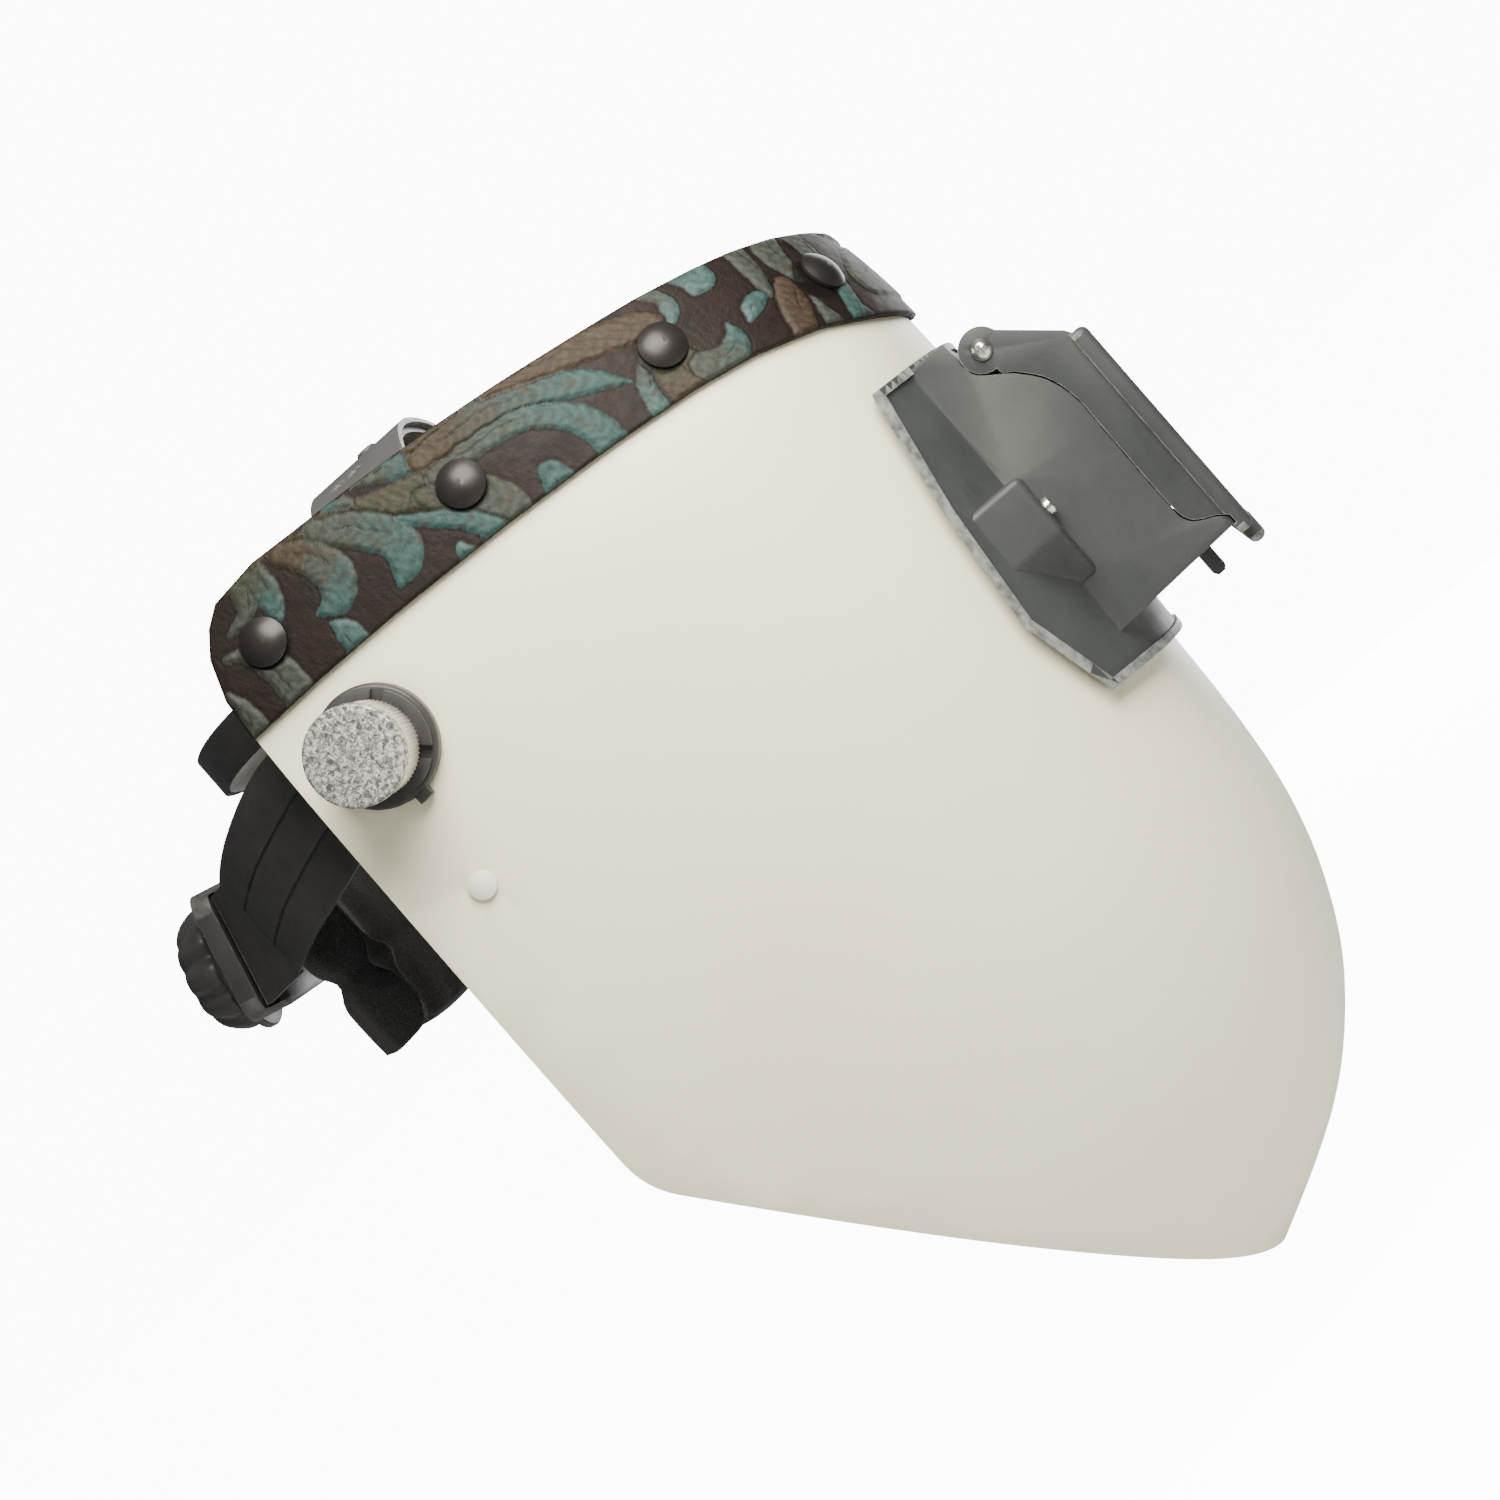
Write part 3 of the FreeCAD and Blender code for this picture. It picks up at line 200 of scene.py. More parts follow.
# %% Material helpers
class Finish:
    """A material with one Principled shader and short ways to add noise, ramps and bump to it."""

    def __init__(self, name, color, roughness, metallic=0.0, **extra):
        self.material = bpy.data.materials.new(name)
        self.material.use_nodes = True
        self.tree = self.material.node_tree
        self.shader = self.tree.nodes["Principled BSDF"]
        self.set("Base Color", (*color, 1))
        self.set("Roughness", roughness)
        self.set("Metallic", metallic)
        for key, value in extra.items():
            self.set(key.replace("_", " "), value)
        coords = self.tree.nodes.new("ShaderNodeTexCoord")
        self.place = coords.outputs["Object"]
        self.bumped = None

    def set(self, socket, value):
        self.shader.inputs[socket].default_value = value

    def join(self, out, socket):
        self.tree.links.new(out, self.shader.inputs[socket])

    def noise(self, size_mm, detail=3.0, rough=0.5, stretch=(1, 1, 1), distortion=0.0):
        mapping = self.tree.nodes.new("ShaderNodeMapping")
        mapping.inputs["Scale"].default_value = stretch
        self.tree.links.new(self.place, mapping.inputs["Vector"])
        node = self.tree.nodes.new("ShaderNodeTexNoise")
        node.inputs["Scale"].default_value = 1000.0 / size_mm
        node.inputs["Detail"].default_value = detail
        node.inputs["Roughness"].default_value = rough
        node.inputs["Distortion"].default_value = distortion
        self.tree.links.new(mapping.outputs["Vector"], node.inputs["Vector"])
        return node.outputs["Fac"]

    def cells(self, size_mm, feature="F1", stretch=(1, 1, 1)):
        mapping = self.tree.nodes.new("ShaderNodeMapping")
        mapping.inputs["Scale"].default_value = stretch
        self.tree.links.new(self.place, mapping.inputs["Vector"])
        node = self.tree.nodes.new("ShaderNodeTexVoronoi")
        node.feature = feature
        node.inputs["Scale"].default_value = 1000.0 / size_mm
        self.tree.links.new(mapping.outputs["Vector"], node.inputs["Vector"])
        return node.outputs["Distance"]

    def ramp(self, source, stops):
        node = self.tree.nodes.new("ShaderNodeValToRGB")
        while len(node.color_ramp.elements) < len(stops):
            node.color_ramp.elements.new(0.5)
        for element, (place, color) in zip(node.color_ramp.elements, stops):
            element.position = place
            element.color = (*color, 1) if len(color) == 3 else (color[0],) * 3 + (1,)
        self.tree.links.new(source, node.inputs["Fac"])
        return node.outputs["Color"]

    def band(self, source, low, high, from_low=0.0, from_high=1.0):
        node = self.tree.nodes.new("ShaderNodeMapRange")
        for key, value in (("From Min", from_low), ("From Max", from_high), ("To Min", low),
                           ("To Max", high)):
            node.inputs[key].default_value = value
        self.tree.links.new(source, node.inputs["Value"])
        return node.outputs["Result"]

    def mixed(self, factor, a, b):
        node = self.tree.nodes.new("ShaderNodeMix")
        node.data_type = "RGBA"
        for value, key in ((factor, "Factor"), (a, "A"), (b, "B")):
            socket = node.inputs[0] if key == "Factor" else node.inputs[6 if key == "A" else 7]
            if isinstance(value, (int, float, tuple)):
                socket.default_value = value if key == "Factor" else (*value, 1)
            else:
                self.tree.links.new(value, socket)
        return node.outputs[2]

    def bump(self, height, depth_mm, strength=1.0):
        node = self.tree.nodes.new("ShaderNodeBump")
        node.inputs["Distance"].default_value = depth_mm * MM
        node.inputs["Strength"].default_value = strength
        self.tree.links.new(height, node.inputs["Height"])
        if self.bumped is not None:
            self.tree.links.new(self.bumped, node.inputs["Normal"])
        self.bumped = node.outputs["Normal"]
        self.tree.links.new(self.bumped, self.shader.inputs["Normal"])
        return self


# %% [markdown]
# The shell's gel coat is sprayed and nearly smooth. The plastics are moulded with a fine grain, and their
# outer edges are painted paler from the attribute edge_wear_and_highlight: partly edges polished by hands,
# partly a painted highlight. Flat colours would be quicker, but moulded grey plastic with no patches looks
# like card.

# %% Gel coat and moulded plastic
def gel_coat():
    """Cream gel coat over chopped fibreglass: satin, a faint orange peel and slow mottling."""
    f = Finish("cream_gel_coat", (0.78, 0.76, 0.68), 0.42, Coat_Weight=0.15, Coat_Roughness=0.25)
    f.join(f.ramp(f.noise(120, 2), [(0.3, (0.74, 0.72, 0.545)), (0.7, (0.80, 0.785, 0.60))]), "Base Color")
    f.join(f.band(f.noise(30, 3), 0.36, 0.52), "Roughness")
    f.bump(f.noise(1.1, 3), 0.05, 0.5).bump(f.noise(9, 2), 0.25, 0.3)
    return f.material


def moulded(name, dark, light, rough, grain_mm=0.5, bump_mm=0.04, wear_and_highlight_tone=None):
    """Moulded plastic: spark-eroded grain, paler patches, and outward edges painted towards a paler colour,
    partly as rubbed wear and partly as a painted highlight.
    """
    f = Finish(name, dark, rough, Specular_IOR_Level=0.3)
    tone = f.ramp(f.noise(22, 5, 0.6), [(0.30, dark), (0.80, light)])
    # the marked outward edges are painted towards a paler colour: partly rubbed wear, partly a painted
    # highlight
    if wear_and_highlight_tone:
        edges = f.tree.nodes.new("ShaderNodeAttribute")
        edges.attribute_name = "edge_wear_and_highlight"
        broken = f.band(f.noise(3.5, 4, 0.6), 0.25, 1.0, 0.35, 0.6)
        share = f.tree.nodes.new("ShaderNodeMath")
        share.operation = "MULTIPLY"
        f.tree.links.new(edges.outputs["Fac"], share.inputs[0])
        f.tree.links.new(broken, share.inputs[1])
        tone = f.mixed(share.outputs[0], tone, wear_and_highlight_tone)
    f.join(tone, "Base Color")
    f.join(f.band(f.noise(7, 4), rough - 0.08, rough + 0.12), "Roughness")
    f.bump(f.noise(grain_mm, 2), bump_mm, 0.6)
    return f.material


# %% [markdown]
# The metals differ in how they were cut: turned steel and brass are smooth, the knob's rim is knurled in
# its own shape, and its face is coarsely blasted. The face's glitter is painted into its colour: bright
# specks as painted glints and dark pits as painted shade, with the pits also in the bump, so it needs no
# millions of faces.

# %% Metals
def bare_metal(name, color, rough, stretch=(1, 1, 1), size_mm=0.6):
    f = Finish(name, color, rough, 1.0)
    f.join(f.band(f.noise(size_mm, 3, 0.6, stretch), rough - 0.08, rough + 0.12), "Roughness")
    f.bump(f.noise(size_mm, 2, 0.5, stretch), 0.02, 0.5)
    return f.material


def blasted_face():
    """Coarsely blasted aluminium: bright specks painted in as glints, dark pits painted in as shade."""
    f = Finish("blasted_aluminium", (0.66, 0.66, 0.65), 0.4, 0.6)
    glint_and_shade_specks = f.noise(1.5, 6, 0.8, distortion=0.8)
    # the colour paints glints on the bright specks and shade in the dark pits
    f.join(f.ramp(glint_and_shade_specks, [(0.41, (0.07, 0.07, 0.067)), (0.5, (0.24, 0.24, 0.23)),
                           (0.59, (0.74, 0.74, 0.71))]), "Base Color")
    f.join(f.band(glint_and_shade_specks, 0.62, 0.28, 0.35, 0.65), "Roughness")
    f.bump(glint_and_shade_specks, 0.25, 0.8)
    return f.material


# %% [markdown]
# Gaskets are plain rubber, the pads wear a brushed knit, and the plates are glass. A woven cloth shader
# would suit a coarser fabric; here the loops are smaller than a millimetre, so cells in the bump do it.

# %% Rubber, knit and glass
def rubbery(name, color, rough):
    f = Finish(name, color, rough)
    f.join(f.band(f.noise(3, 3), rough - 0.06, rough + 0.08), "Roughness")
    f.bump(f.noise(0.4, 2), 0.02, 0.5)
    return f.material


def pad_cloth():
    """Brushed knit over foam: tiny loops, a soft sheen and lint."""
    f = Finish("pad_knit", (0.022, 0.022, 0.025), 0.92, Sheen_Weight=0.10, Sheen_Roughness=0.5,
               Specular_IOR_Level=0.2)
    f.join(f.ramp(f.noise(0.7, 4), [(0.3, (0.004, 0.0045, 0.005)), (0.75, (0.016, 0.017, 0.018))]),
           "Base Color")
    f.bump(f.cells(0.55), 0.25, 0.9).bump(f.noise(6, 3), 0.4, 0.5)
    return f.material


def glassy(name, color, transmission, rough):
    f = Finish(name, color, rough, Transmission_Weight=transmission, IOR=1.5)
    f.join(f.band(f.noise(14, 3), rough, rough + 0.05), "Roughness")
    return f.material


# %% Finish for each material slot
FINISHES = {
    "gelcoat": gel_coat(),
    # the last colour of each plastic paints its outward edges paler: partly rubbed wear, partly a painted
    # highlight
    "grey_plastic": moulded("holder_grey", (0.027, 0.031, 0.032), (0.040, 0.045, 0.0465), 0.46,
                            wear_and_highlight_tone=(0.20, 0.21, 0.208)),
    "black_plastic": moulded("headgear_black", (0.024, 0.024, 0.025), (0.040, 0.040, 0.041), 0.42,
                             wear_and_highlight_tone=(0.07, 0.07, 0.072)),
    "strap_grey": moulded("strap_grey", (0.050, 0.050, 0.053), (0.075, 0.075, 0.078), 0.45,
                          wear_and_highlight_tone=(0.16, 0.16, 0.165)),
    "snap_black": moulded("snap_enamel", (0.008, 0.007, 0.007), (0.013, 0.011, 0.011), 0.34, 2.0, 0.01),
    "white_paint": moulded("rivet_cream", (0.76, 0.75, 0.68), (0.80, 0.79, 0.72), 0.38, 2.0, 0.02),
    "steel": bare_metal("bright_steel", (0.62, 0.61, 0.60), 0.24),
    "brass": bare_metal("turned_brass", (0.78, 0.58, 0.28), 0.25),
    "knob_aluminium": bare_metal("knurled_aluminium", (0.80, 0.80, 0.79), 0.30, (1, 0.2, 0.2)),
    "knob_face_aluminium": blasted_face(),
    "rubber_black": rubbery("gasket_rubber", (0.015, 0.015, 0.015), 0.7),
    "clear_plate": glassy("clear_cover", (0.95, 0.97, 0.97), 0.95, 0.02),
    "filter_glass": glassy("green_filter", (0.004, 0.012, 0.006), 0.15, 0.03),
    "pad_fabric": pad_cloth(),
    "tooled_leather": moulded("leather_back", (0.10, 0.065, 0.045), (0.15, 0.10, 0.07), 0.7, 1.2, 0.2),
}
SLOT_OF = {row["node"]: row["material_slot"] for row in frame["record"]["subparts"]}
for name, node in nodes.items():
    node.data.materials.clear()
    node.data.materials.append(FINISHES[SLOT_OF[name]])
print("finishes", len(FINISHES))

# %% [markdown]
# ## Rounded edges
# Moulded and turned parts never have knife edges: the mould has a small radius and handling rubs it paler.
# The CAD parts come with sharp edges, so each visible one is copied, welded into one skin and bevelled. A
# bevel in the shader would be cheaper, but it changes only the shading and leaves the outline sharp. The
# narrow faces that the bevel makes are marked by the attribute edge_wear_and_highlight, which the plastics
# read to paint them paler: partly rubbed wear, partly a painted highlight.

# %% Welded, bevelled copies
def welded_copy(name, new_name):
    """A copy of a CAD part as one welded skin, riding on the same body and standing in for it."""
    copy = bpy.data.objects.new(new_name, nodes[name].data.copy())
    bpy.context.scene.collection.objects.link(copy)
    only(copy)
    if copy.data.has_custom_normals:
        bpy.ops.mesh.customdata_custom_splitnormals_clear()
    bpy.ops.object.mode_set(mode="EDIT")
    bpy.ops.mesh.select_all(action="SELECT")
    bpy.ops.mesh.remove_doubles(threshold=0.00002)
    bpy.ops.object.mode_set(mode="OBJECT")
    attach(copy, BODY_OF[name])
    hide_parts(name)
    return copy


def edge_wear_and_highlight(obj, width_mm):
    """Mark the faces along outward edges that are narrower than this; the plastics paint these paler, partly
    as rubbed wear and partly as a painted highlight.
    """
    work = bmesh.new()
    work.from_mesh(obj.data)
    values = []
    for face in work.faces:
        breadth = 2 * face.calc_area() / max(face.calc_perimeter(), 1e-9)
        outward = max(e.calc_face_angle_signed(0.0) for e in face.edges) > 0.2
        values.append(1.0 if outward and breadth < width_mm * MM else 0.0)
    work.free()
    obj.data.attributes.new("edge_wear_and_highlight", "FLOAT", "FACE").data.foreach_set("value", values)


def eased(name, width_mm, wear_and_highlight_mm, segments=2, flat_deg=0.3, corner_deg=32):
    copy = welded_copy(name, name + "_eased")
    bpy.ops.object.mode_set(mode="EDIT")
    bpy.ops.mesh.select_all(action="SELECT")
    bpy.ops.mesh.dissolve_limited(angle_limit=math.radians(flat_deg))
    bpy.ops.object.mode_set(mode="OBJECT")
    apply_modifier(copy, "BEVEL", width=width_mm * MM, segments=segments, limit_method="ANGLE",
                   angle_limit=math.radians(corner_deg))
    edge_wear_and_highlight(copy, wear_and_highlight_mm)
    only(copy)
    bpy.ops.object.shade_smooth_by_angle(angle=math.radians(30))
    return copy


# bevel width of each part, in millimetres
EASED = {"holder_base": 0.9, "lift_frame": 0.9, "headband_front": 0.4, "rear_strap_right": 0.4,
         "rear_strap_left": 0.4, "rear_cradle": 0.5, "crown_strap_right": 0.45, "crown_strap_left": 0.45,
         "ratchet_housing": 0.8, "ratchet_cover": 0.4, "ratchet_knob": 0.7, "side_bracket_right": 0.4,
         "side_bracket_left": 0.4, "pivot_ring_right": 0.35, "pivot_ring_left": 0.35, "hood_shell": 0.5,
         "knob_face_right": 0.3, "knob_face_left": 0.3, "cover_plate": 0.2, "stop_bumpers": 0.4}
PAINTED_HIGHLIGHT_BEAD = {"holder_base": 2.9}        # the flange's bead is painted pale across its whole width: a painted highlight
for name, width in EASED.items():
    piece = eased(name, width, PAINTED_HIGHLIGHT_BEAD.get(name, 0.9 * width))
    print(name, len(piece.data.polygons), "faces")

# %% [markdown]
# ## Foam pads
# The sweatband and the nape pad are foam in a brushed knit cover, sewn round the rim and quilted. Foam
# swells between its seams, so a bevelled block looks wrong. Each pad starts from its own space, a little
# smaller, is remeshed evenly and blown up as cloth with a limit on how far any point may go. Then the
# sewn channels are pressed in. Sculpting would work too, but it couldn't be repeated from a script.

# %% Pads blown up as cloth
def points_of(mesh):
    flat = np.empty(len(mesh.vertices) * 3)
    mesh.vertices.foreach_get("co", flat)
    return flat.reshape(-1, 3)


CLOTH_FRAMES = 20


def puffed(name, shrink_mm, voxel_mm, cap_mm, pressure):
    """The pad's space, shrunk, remeshed and blown up as cloth; no point moves further than the cap."""
    pad = welded_copy(name, name + "_sewn")
    bpy.ops.object.mode_set(mode="EDIT")
    bpy.ops.mesh.select_all(action="SELECT")
    bpy.ops.mesh.normals_make_consistent(inside=False)
    bpy.ops.object.mode_set(mode="OBJECT")
    apply_modifier(pad, "REMESH", mode="VOXEL", voxel_size=voxel_mm * MM, adaptivity=0.0)
    normals = np.empty(len(pad.data.vertices) * 3)
    pad.data.vertices.foreach_get("normal", normals)
    start = points_of(pad.data) - normals.reshape(-1, 3) * shrink_mm * MM
    pad.data.vertices.foreach_set("co", start.ravel())
    pad.data.update()
    cloth = pad.modifiers.new("cloth", "CLOTH")
    cloth.settings.quality = 6
    cloth.settings.use_pressure = True
    cloth.settings.uniform_pressure_force = pressure
    cloth.settings.effector_weights.gravity = 0.0
    for frame_number in range(1, CLOTH_FRAMES + 1):
        bpy.context.scene.frame_set(frame_number)
    blown = points_of(pad.evaluated_get(bpy.context.evaluated_depsgraph_get()).data)
    step = blown - start
    far = np.linalg.norm(step, axis=1, keepdims=True)
    cap = cap_mm * MM
    blown = start + step * (cap * np.tanh(far / cap) / np.maximum(far, 1e-9))
    pad.modifiers.remove(cloth)
    bpy.context.scene.frame_set(1)
    pad.data.vertices.foreach_set("co", blown.ravel())
    print(name, "moved up to", round(float(far.max()) / MM, 2), "mm before the cap")
    apply_modifier(pad, "SUBSURF", levels=1)
    return pad


def press_in(pad, distance, depth_mm, width_mm):
    """Press a sewn channel where distance, in millimetres from the seam line, is small."""
    normals = np.empty(len(pad.data.vertices) * 3)
    pad.data.vertices.foreach_get("normal", normals)
    dip = depth_mm * np.exp(-(distance / width_mm) ** 2)
    co = points_of(pad.data) - normals.reshape(-1, 3) * (dip * MM)[:, None]
    pad.data.vertices.foreach_set("co", co.ravel())
    pad.data.update()


# %% [markdown]
# The nape pad has one channel across, which sags towards its ends, and two upright ones. The sweatband is
# quilted at even turns round the forehead, so its channels are placed by angle.

# %% Nape pad and sweatband
CROSS_CHANNEL_Z, CROSS_CHANNEL_SAG = -38, 0.0012     # mm, and mm per mm squared away from the middle
UPRIGHT_CHANNEL_X = 17                               # mm each side of the middle
nape = puffed("nape_pad", shrink_mm=3.2, voxel_mm=3.6, cap_mm=3.6, pressure=4.0)
here = points_of(nape.data) / MM
press_in(nape, here[:, 2] - CROSS_CHANNEL_Z + CROSS_CHANNEL_SAG * here[:, 0] ** 2, 3.4, 4.5)
here = points_of(nape.data) / MM
press_in(nape, abs(abs(here[:, 0]) - UPRIGHT_CHANNEL_X), 2.6, 3.6)

HEAD_MID = 12                 # mm in front of the knobs
QUILT_DEG, MM_PER_DEG = 18, 1.5
sweat = puffed("sweatband", shrink_mm=1.2, voxel_mm=2.4, cap_mm=1.3, pressure=4.0)
here = points_of(sweat.data) / MM
turn = np.degrees(np.arctan2(here[:, 0], -here[:, 1] - HEAD_MID))
from_seam = np.abs((turn + QUILT_DEG / 2) % QUILT_DEG - QUILT_DEG / 2)
press_in(sweat, from_seam * MM_PER_DEG, 1.0, 1.6)
for pad in (nape, sweat):
    for polygon in pad.data.polygons:
        polygon.use_smooth = True
    print(pad.name, len(pad.data.polygons), "faces")

# %% [markdown]
# ## The tooled leather band
# A saddler cuts this band from 2 mm veg-tan leather, presses a scroll pattern into it, paints the raised
# leaves turquoise over a dark brown ground, rubs the paint back and snaps the band to the shell. A bump
# map would look flat at the silhouette, so the band is a fine grid wrapped round the shell and the leaves
# are really raised. The same level sections that the shell was built from place every point.

# %% The shell's level sections near the crown
# height, half width, front reach and roundness, in millimetres
CROWN_ROWS = np.array([
    (80, 93, 152, 2.5), (56, 99, 163, 2.6), (33, 103.6, 171.6, 2.7), (0, 107.6, 176.4, 2.8),
    (-60, 108.6, 176.6, 2.8), (-110, 107.6, 174.6, 2.8)])
REAR = -25.0
BAND_TOP = np.array([(-12, 57), (4.6, 58.9), (18, 57.9), (40, 56.4), (65, 54.2), (85, 51.8),
                     (110, 48.2), (126, 45.8), (142.5, 42.6), (153.4, 40), (163.4, 36.8),
                     (172.2, 32.8), (190, 24)])
BAND_HEM = np.array([(-40, 23.2), (0, 24), (27.4, 23.5), (65, 21.8), (100.5, 19.2), (125, 16.6),
                     (142.5, 13.6), (160, 8.4), (176.5, 0.2), (190, -7)])
REAR_EDGE = np.array([(20, -25), (36, -24.2), (47.5, -20.5), (54, -15.6), (58, -10)])


def level_section(z):
    """Half width, front reach and roundness at the heights z, blended as the shell's are."""
    rows = CROWN_ROWS[::-1]
    z = np.asarray(z, float)
    i = np.clip(np.searchsorted(rows[:, 0], z) - 1, 0, len(rows) - 2)
    h = rows[i + 1, 0] - rows[i, 0]
    t = (z - rows[i, 0]) / h
    low, high = np.maximum(np.arange(len(rows)) - 1, 0), np.minimum(np.arange(len(rows)) + 1, len(rows) - 1)
    result = []
    for c in (1, 2, 3):
        slope = (rows[high, c] - rows[low, c]) / (rows[high, 0] - rows[low, 0])
        result.append((2 * t**3 - 3 * t**2 + 1) * rows[i, c] + (t**3 - 2 * t**2 + t) * slope[i] * h
                      + (3 * t**2 - 2 * t**3) * rows[i + 1, c] + (t**3 - t**2) * slope[i + 1] * h)
    return result


def grown_level(z, d):
    """The level section moved out by d."""
    w, f, n = level_section(z)
    (w_hi, f_hi, _), (w_lo, f_lo, _) = level_section(z + 1), level_section(z - 1)
    return (w + d * np.hypot(1, (w_hi - w_lo) / 2), f + d * np.hypot(1, (f_hi - f_lo) / 2), n)


W30, F30, N30 = (float(v) for v in grown_level(30.0, 2.5))
ANGLES = np.linspace(math.pi / 2, 0, 4001)
_x, _r = W30 * np.sin(ANGLES) ** (2 / N30), REAR + (F30 - REAR) * np.cos(ANGLES) ** (2 / N30)
RUN = np.concatenate([[0], np.cumsum(np.hypot(np.diff(_x), np.diff(_r)))])
HALF_RUN = float(RUN[-1])
print("band length from rear edge to front centre", round(HALF_RUN, 1), "mm")

# %% [markdown]
# The leaves are strokes that taper: each is a few points with a half width, measured along the band from
# its rear edge and up from its hem. Every stroke runs from one paint to another, such as from rubbed tan
# at the stem to clean turquoise at the tip. Both sides of the band carry the same pattern, mirrored.

# %% Scroll pattern
PAINTS = {"tan": (0.034, 0.026, 0.017), "olive": (0.026, 0.029, 0.019), "grey": (0.031, 0.038, 0.032),
          "teal": (0.024, 0.054, 0.054), "sky": (0.042, 0.080, 0.080), "rust": (0.030, 0.016, 0.012)}
GROUND, SEAM = (0.0080, 0.0043, 0.0034), (0.0022, 0.0016, 0.0015)
LEAVES = [
    ("grey", "grey", [(3.4, -1, 3.2), (3.6, 6, 2.6), (2.4, 13.5, 0.8)]),
    ("grey", "grey", [(17.6, -1, 5.0), (17.6, 8, 4.6), (15, 15, 3.4), (12, 18.6, 2.0), (8, 20.5, 1.3)]),
    ("olive", "grey", [(25, 35, 4.5), (23.5, 29, 4.0), (20, 25.6, 2.6), (13.4, 24.6, 1.3)]),
    ("olive", "teal", [(28.4, 35, 4.2), (29, 28.5, 4.4), (28, 22.5, 3.6), (25.4, 17.6, 1.2)]),
    ("tan", "olive", [(30, 34, 1.2), (45, 32, 2.8), (56, 29.4, 3.6), (68, 24.6, 4.6), (80, 21.6, 5.2),
                      (88, 20.6, 4.8)]),
    ("tan", "teal", [(38, 31, 3.0), (44, 25.6, 5.4), (46, 18.2, 5.8), (42, 12.4, 4.2), (35.2, 12.4, 0.8)]),
    ("grey", "teal", [(50, 30, 3.2), (58, 24, 5.6), (64.4, 16, 6.0), (62.6, 9, 4.6), (57, 4.8, 1.0)]),
    ("teal", "sky", [(38.2, -1, 4.2), (38.4, 4, 3.4), (36.6, 8.6, 0.7)]),
    ("teal", "grey", [(57, 33.4, 1.4), (62, 31, 2.2)]),
    ("grey", "teal", [(66, 36, 2.2), (76, 31.4, 3.4), (88, 27.8, 3.0)]),
    ("olive", "grey", [(78, 19, 3.4), (86, 12, 7.0), (90, 5, 7.6), (88, -3, 8.0)]),
    ("teal", "teal", [(68.6, 19.4, 0.9), (74, 14, 2.4), (81, 8.4, 3.2), (86.4, -1, 3.4)]),
    ("teal", "sky", [(76, -1, 3.2), (75.6, 3.0, 1.4)]),
    ("tan", "grey", [(86, 33, 3.0), (105, 33.6, 3.4), (114, 34, 2.0)]),
    ("tan", "teal", [(84, 28, 3.2), (104, 28.4, 4.4), (118, 25.8, 4.6), (130, 20, 4.4), (138.6, 12.6, 0.9)]),
    ("tan", "tan", [(110, 33.6, 2.2), (125, 31.6, 4.4), (140, 28.6, 5.4), (152, 25.8, 5.2), (157, 24.4, 2.6)]),
    ("grey", "sky", [(160, 36, 2.6), (163.6, 29.6, 2.4), (162, 24.6, 2.2), (158.4, 20, 0.6)]),
    ("grey", "teal", [(84, 21.4, 3.0), (100, 22, 3.2), (112, 20.4, 3.8), (120, 14.4, 4.6), (123.2, 7, 4.8),
                      (123.2, -1.5, 4.8)]),
    ("teal", "teal", [(106, -1, 5.0), (106.6, 4.2, 3.4)]),
    ("olive", "tan", [(151, 15, 4.6), (151, 7, 7.6), (152, -3, 9.0)]),
    ("grey", "sky", [(146, 15.6, 1.6), (141, 9, 2.4), (138.6, -1, 3.0)]),
    ("grey", "teal", [(157, 4, 5.0), (163, 2.8, 4.6), (168.4, 6.6, 3.2), (170.2, 12.6, 0.6)]),
    ("teal", "sky", [(174, 37, 6.4), (175.6, 30.6, 5.2), (171.8, 26.4, 1.8)]),
    ("grey", "grey", [(192, 36, 3.6), (189.6, 25, 3.2), (186.8, 15.6, 1.4)]),
    ("sky", "teal", [(175.6, 10.4, 0.8), (179.6, 14, 2.8), (183.8, 16.4, 2.4)]),
    ("tan", "tan", [(194, 17.4, 2.8), (190, 9, 4.8), (185, -1.5, 3.4)]),
    ("grey", "grey", [(203.6, 35.5, 5.2), (199.6, 26, 4.4), (199.2, 17.4, 1.6)]),
    ("grey", "teal", [(215, 36, 4.6), (214, 24, 3.8), (211, 12, 3.4), (205.6, -1.5, 3.2)]),
    ("grey", "grey", [(197.2, 10.4, 0.8), (196.4, -1, 3.6)]),
    ("grey", "teal", [(210.4, -1, 3.4), (210.2, 3.2, 1.6)]),
    ("grey", "olive", [(227, 13, 6.6), (238, 16, 10.0), (250, 17, 11.0), (262, 17, 11.0)]),
    ("olive", "olive", [(236, 34, 2.4), (262, 31, 3.0)]),
]


def stroke_points(points, steps=7):
    """The stroke's points with more between them, on a smooth curve."""
    p = np.array([points[0]] + list(points) + [points[-1]], float)
    rows = [0.5 * (2 * p[i + 1] + (p[i + 2] - p[i]) * t + (2 * p[i] - 5 * p[i + 1] + 4 * p[i + 2] - p[i + 3])
                   * t * t + (3 * p[i + 1] - p[i] - 3 * p[i + 2] + p[i + 3]) * t**3)
            for i in range(len(points) - 1) for t in np.linspace(0, 1, steps, endpoint=False)]
    return np.array(rows + [p[-1]])


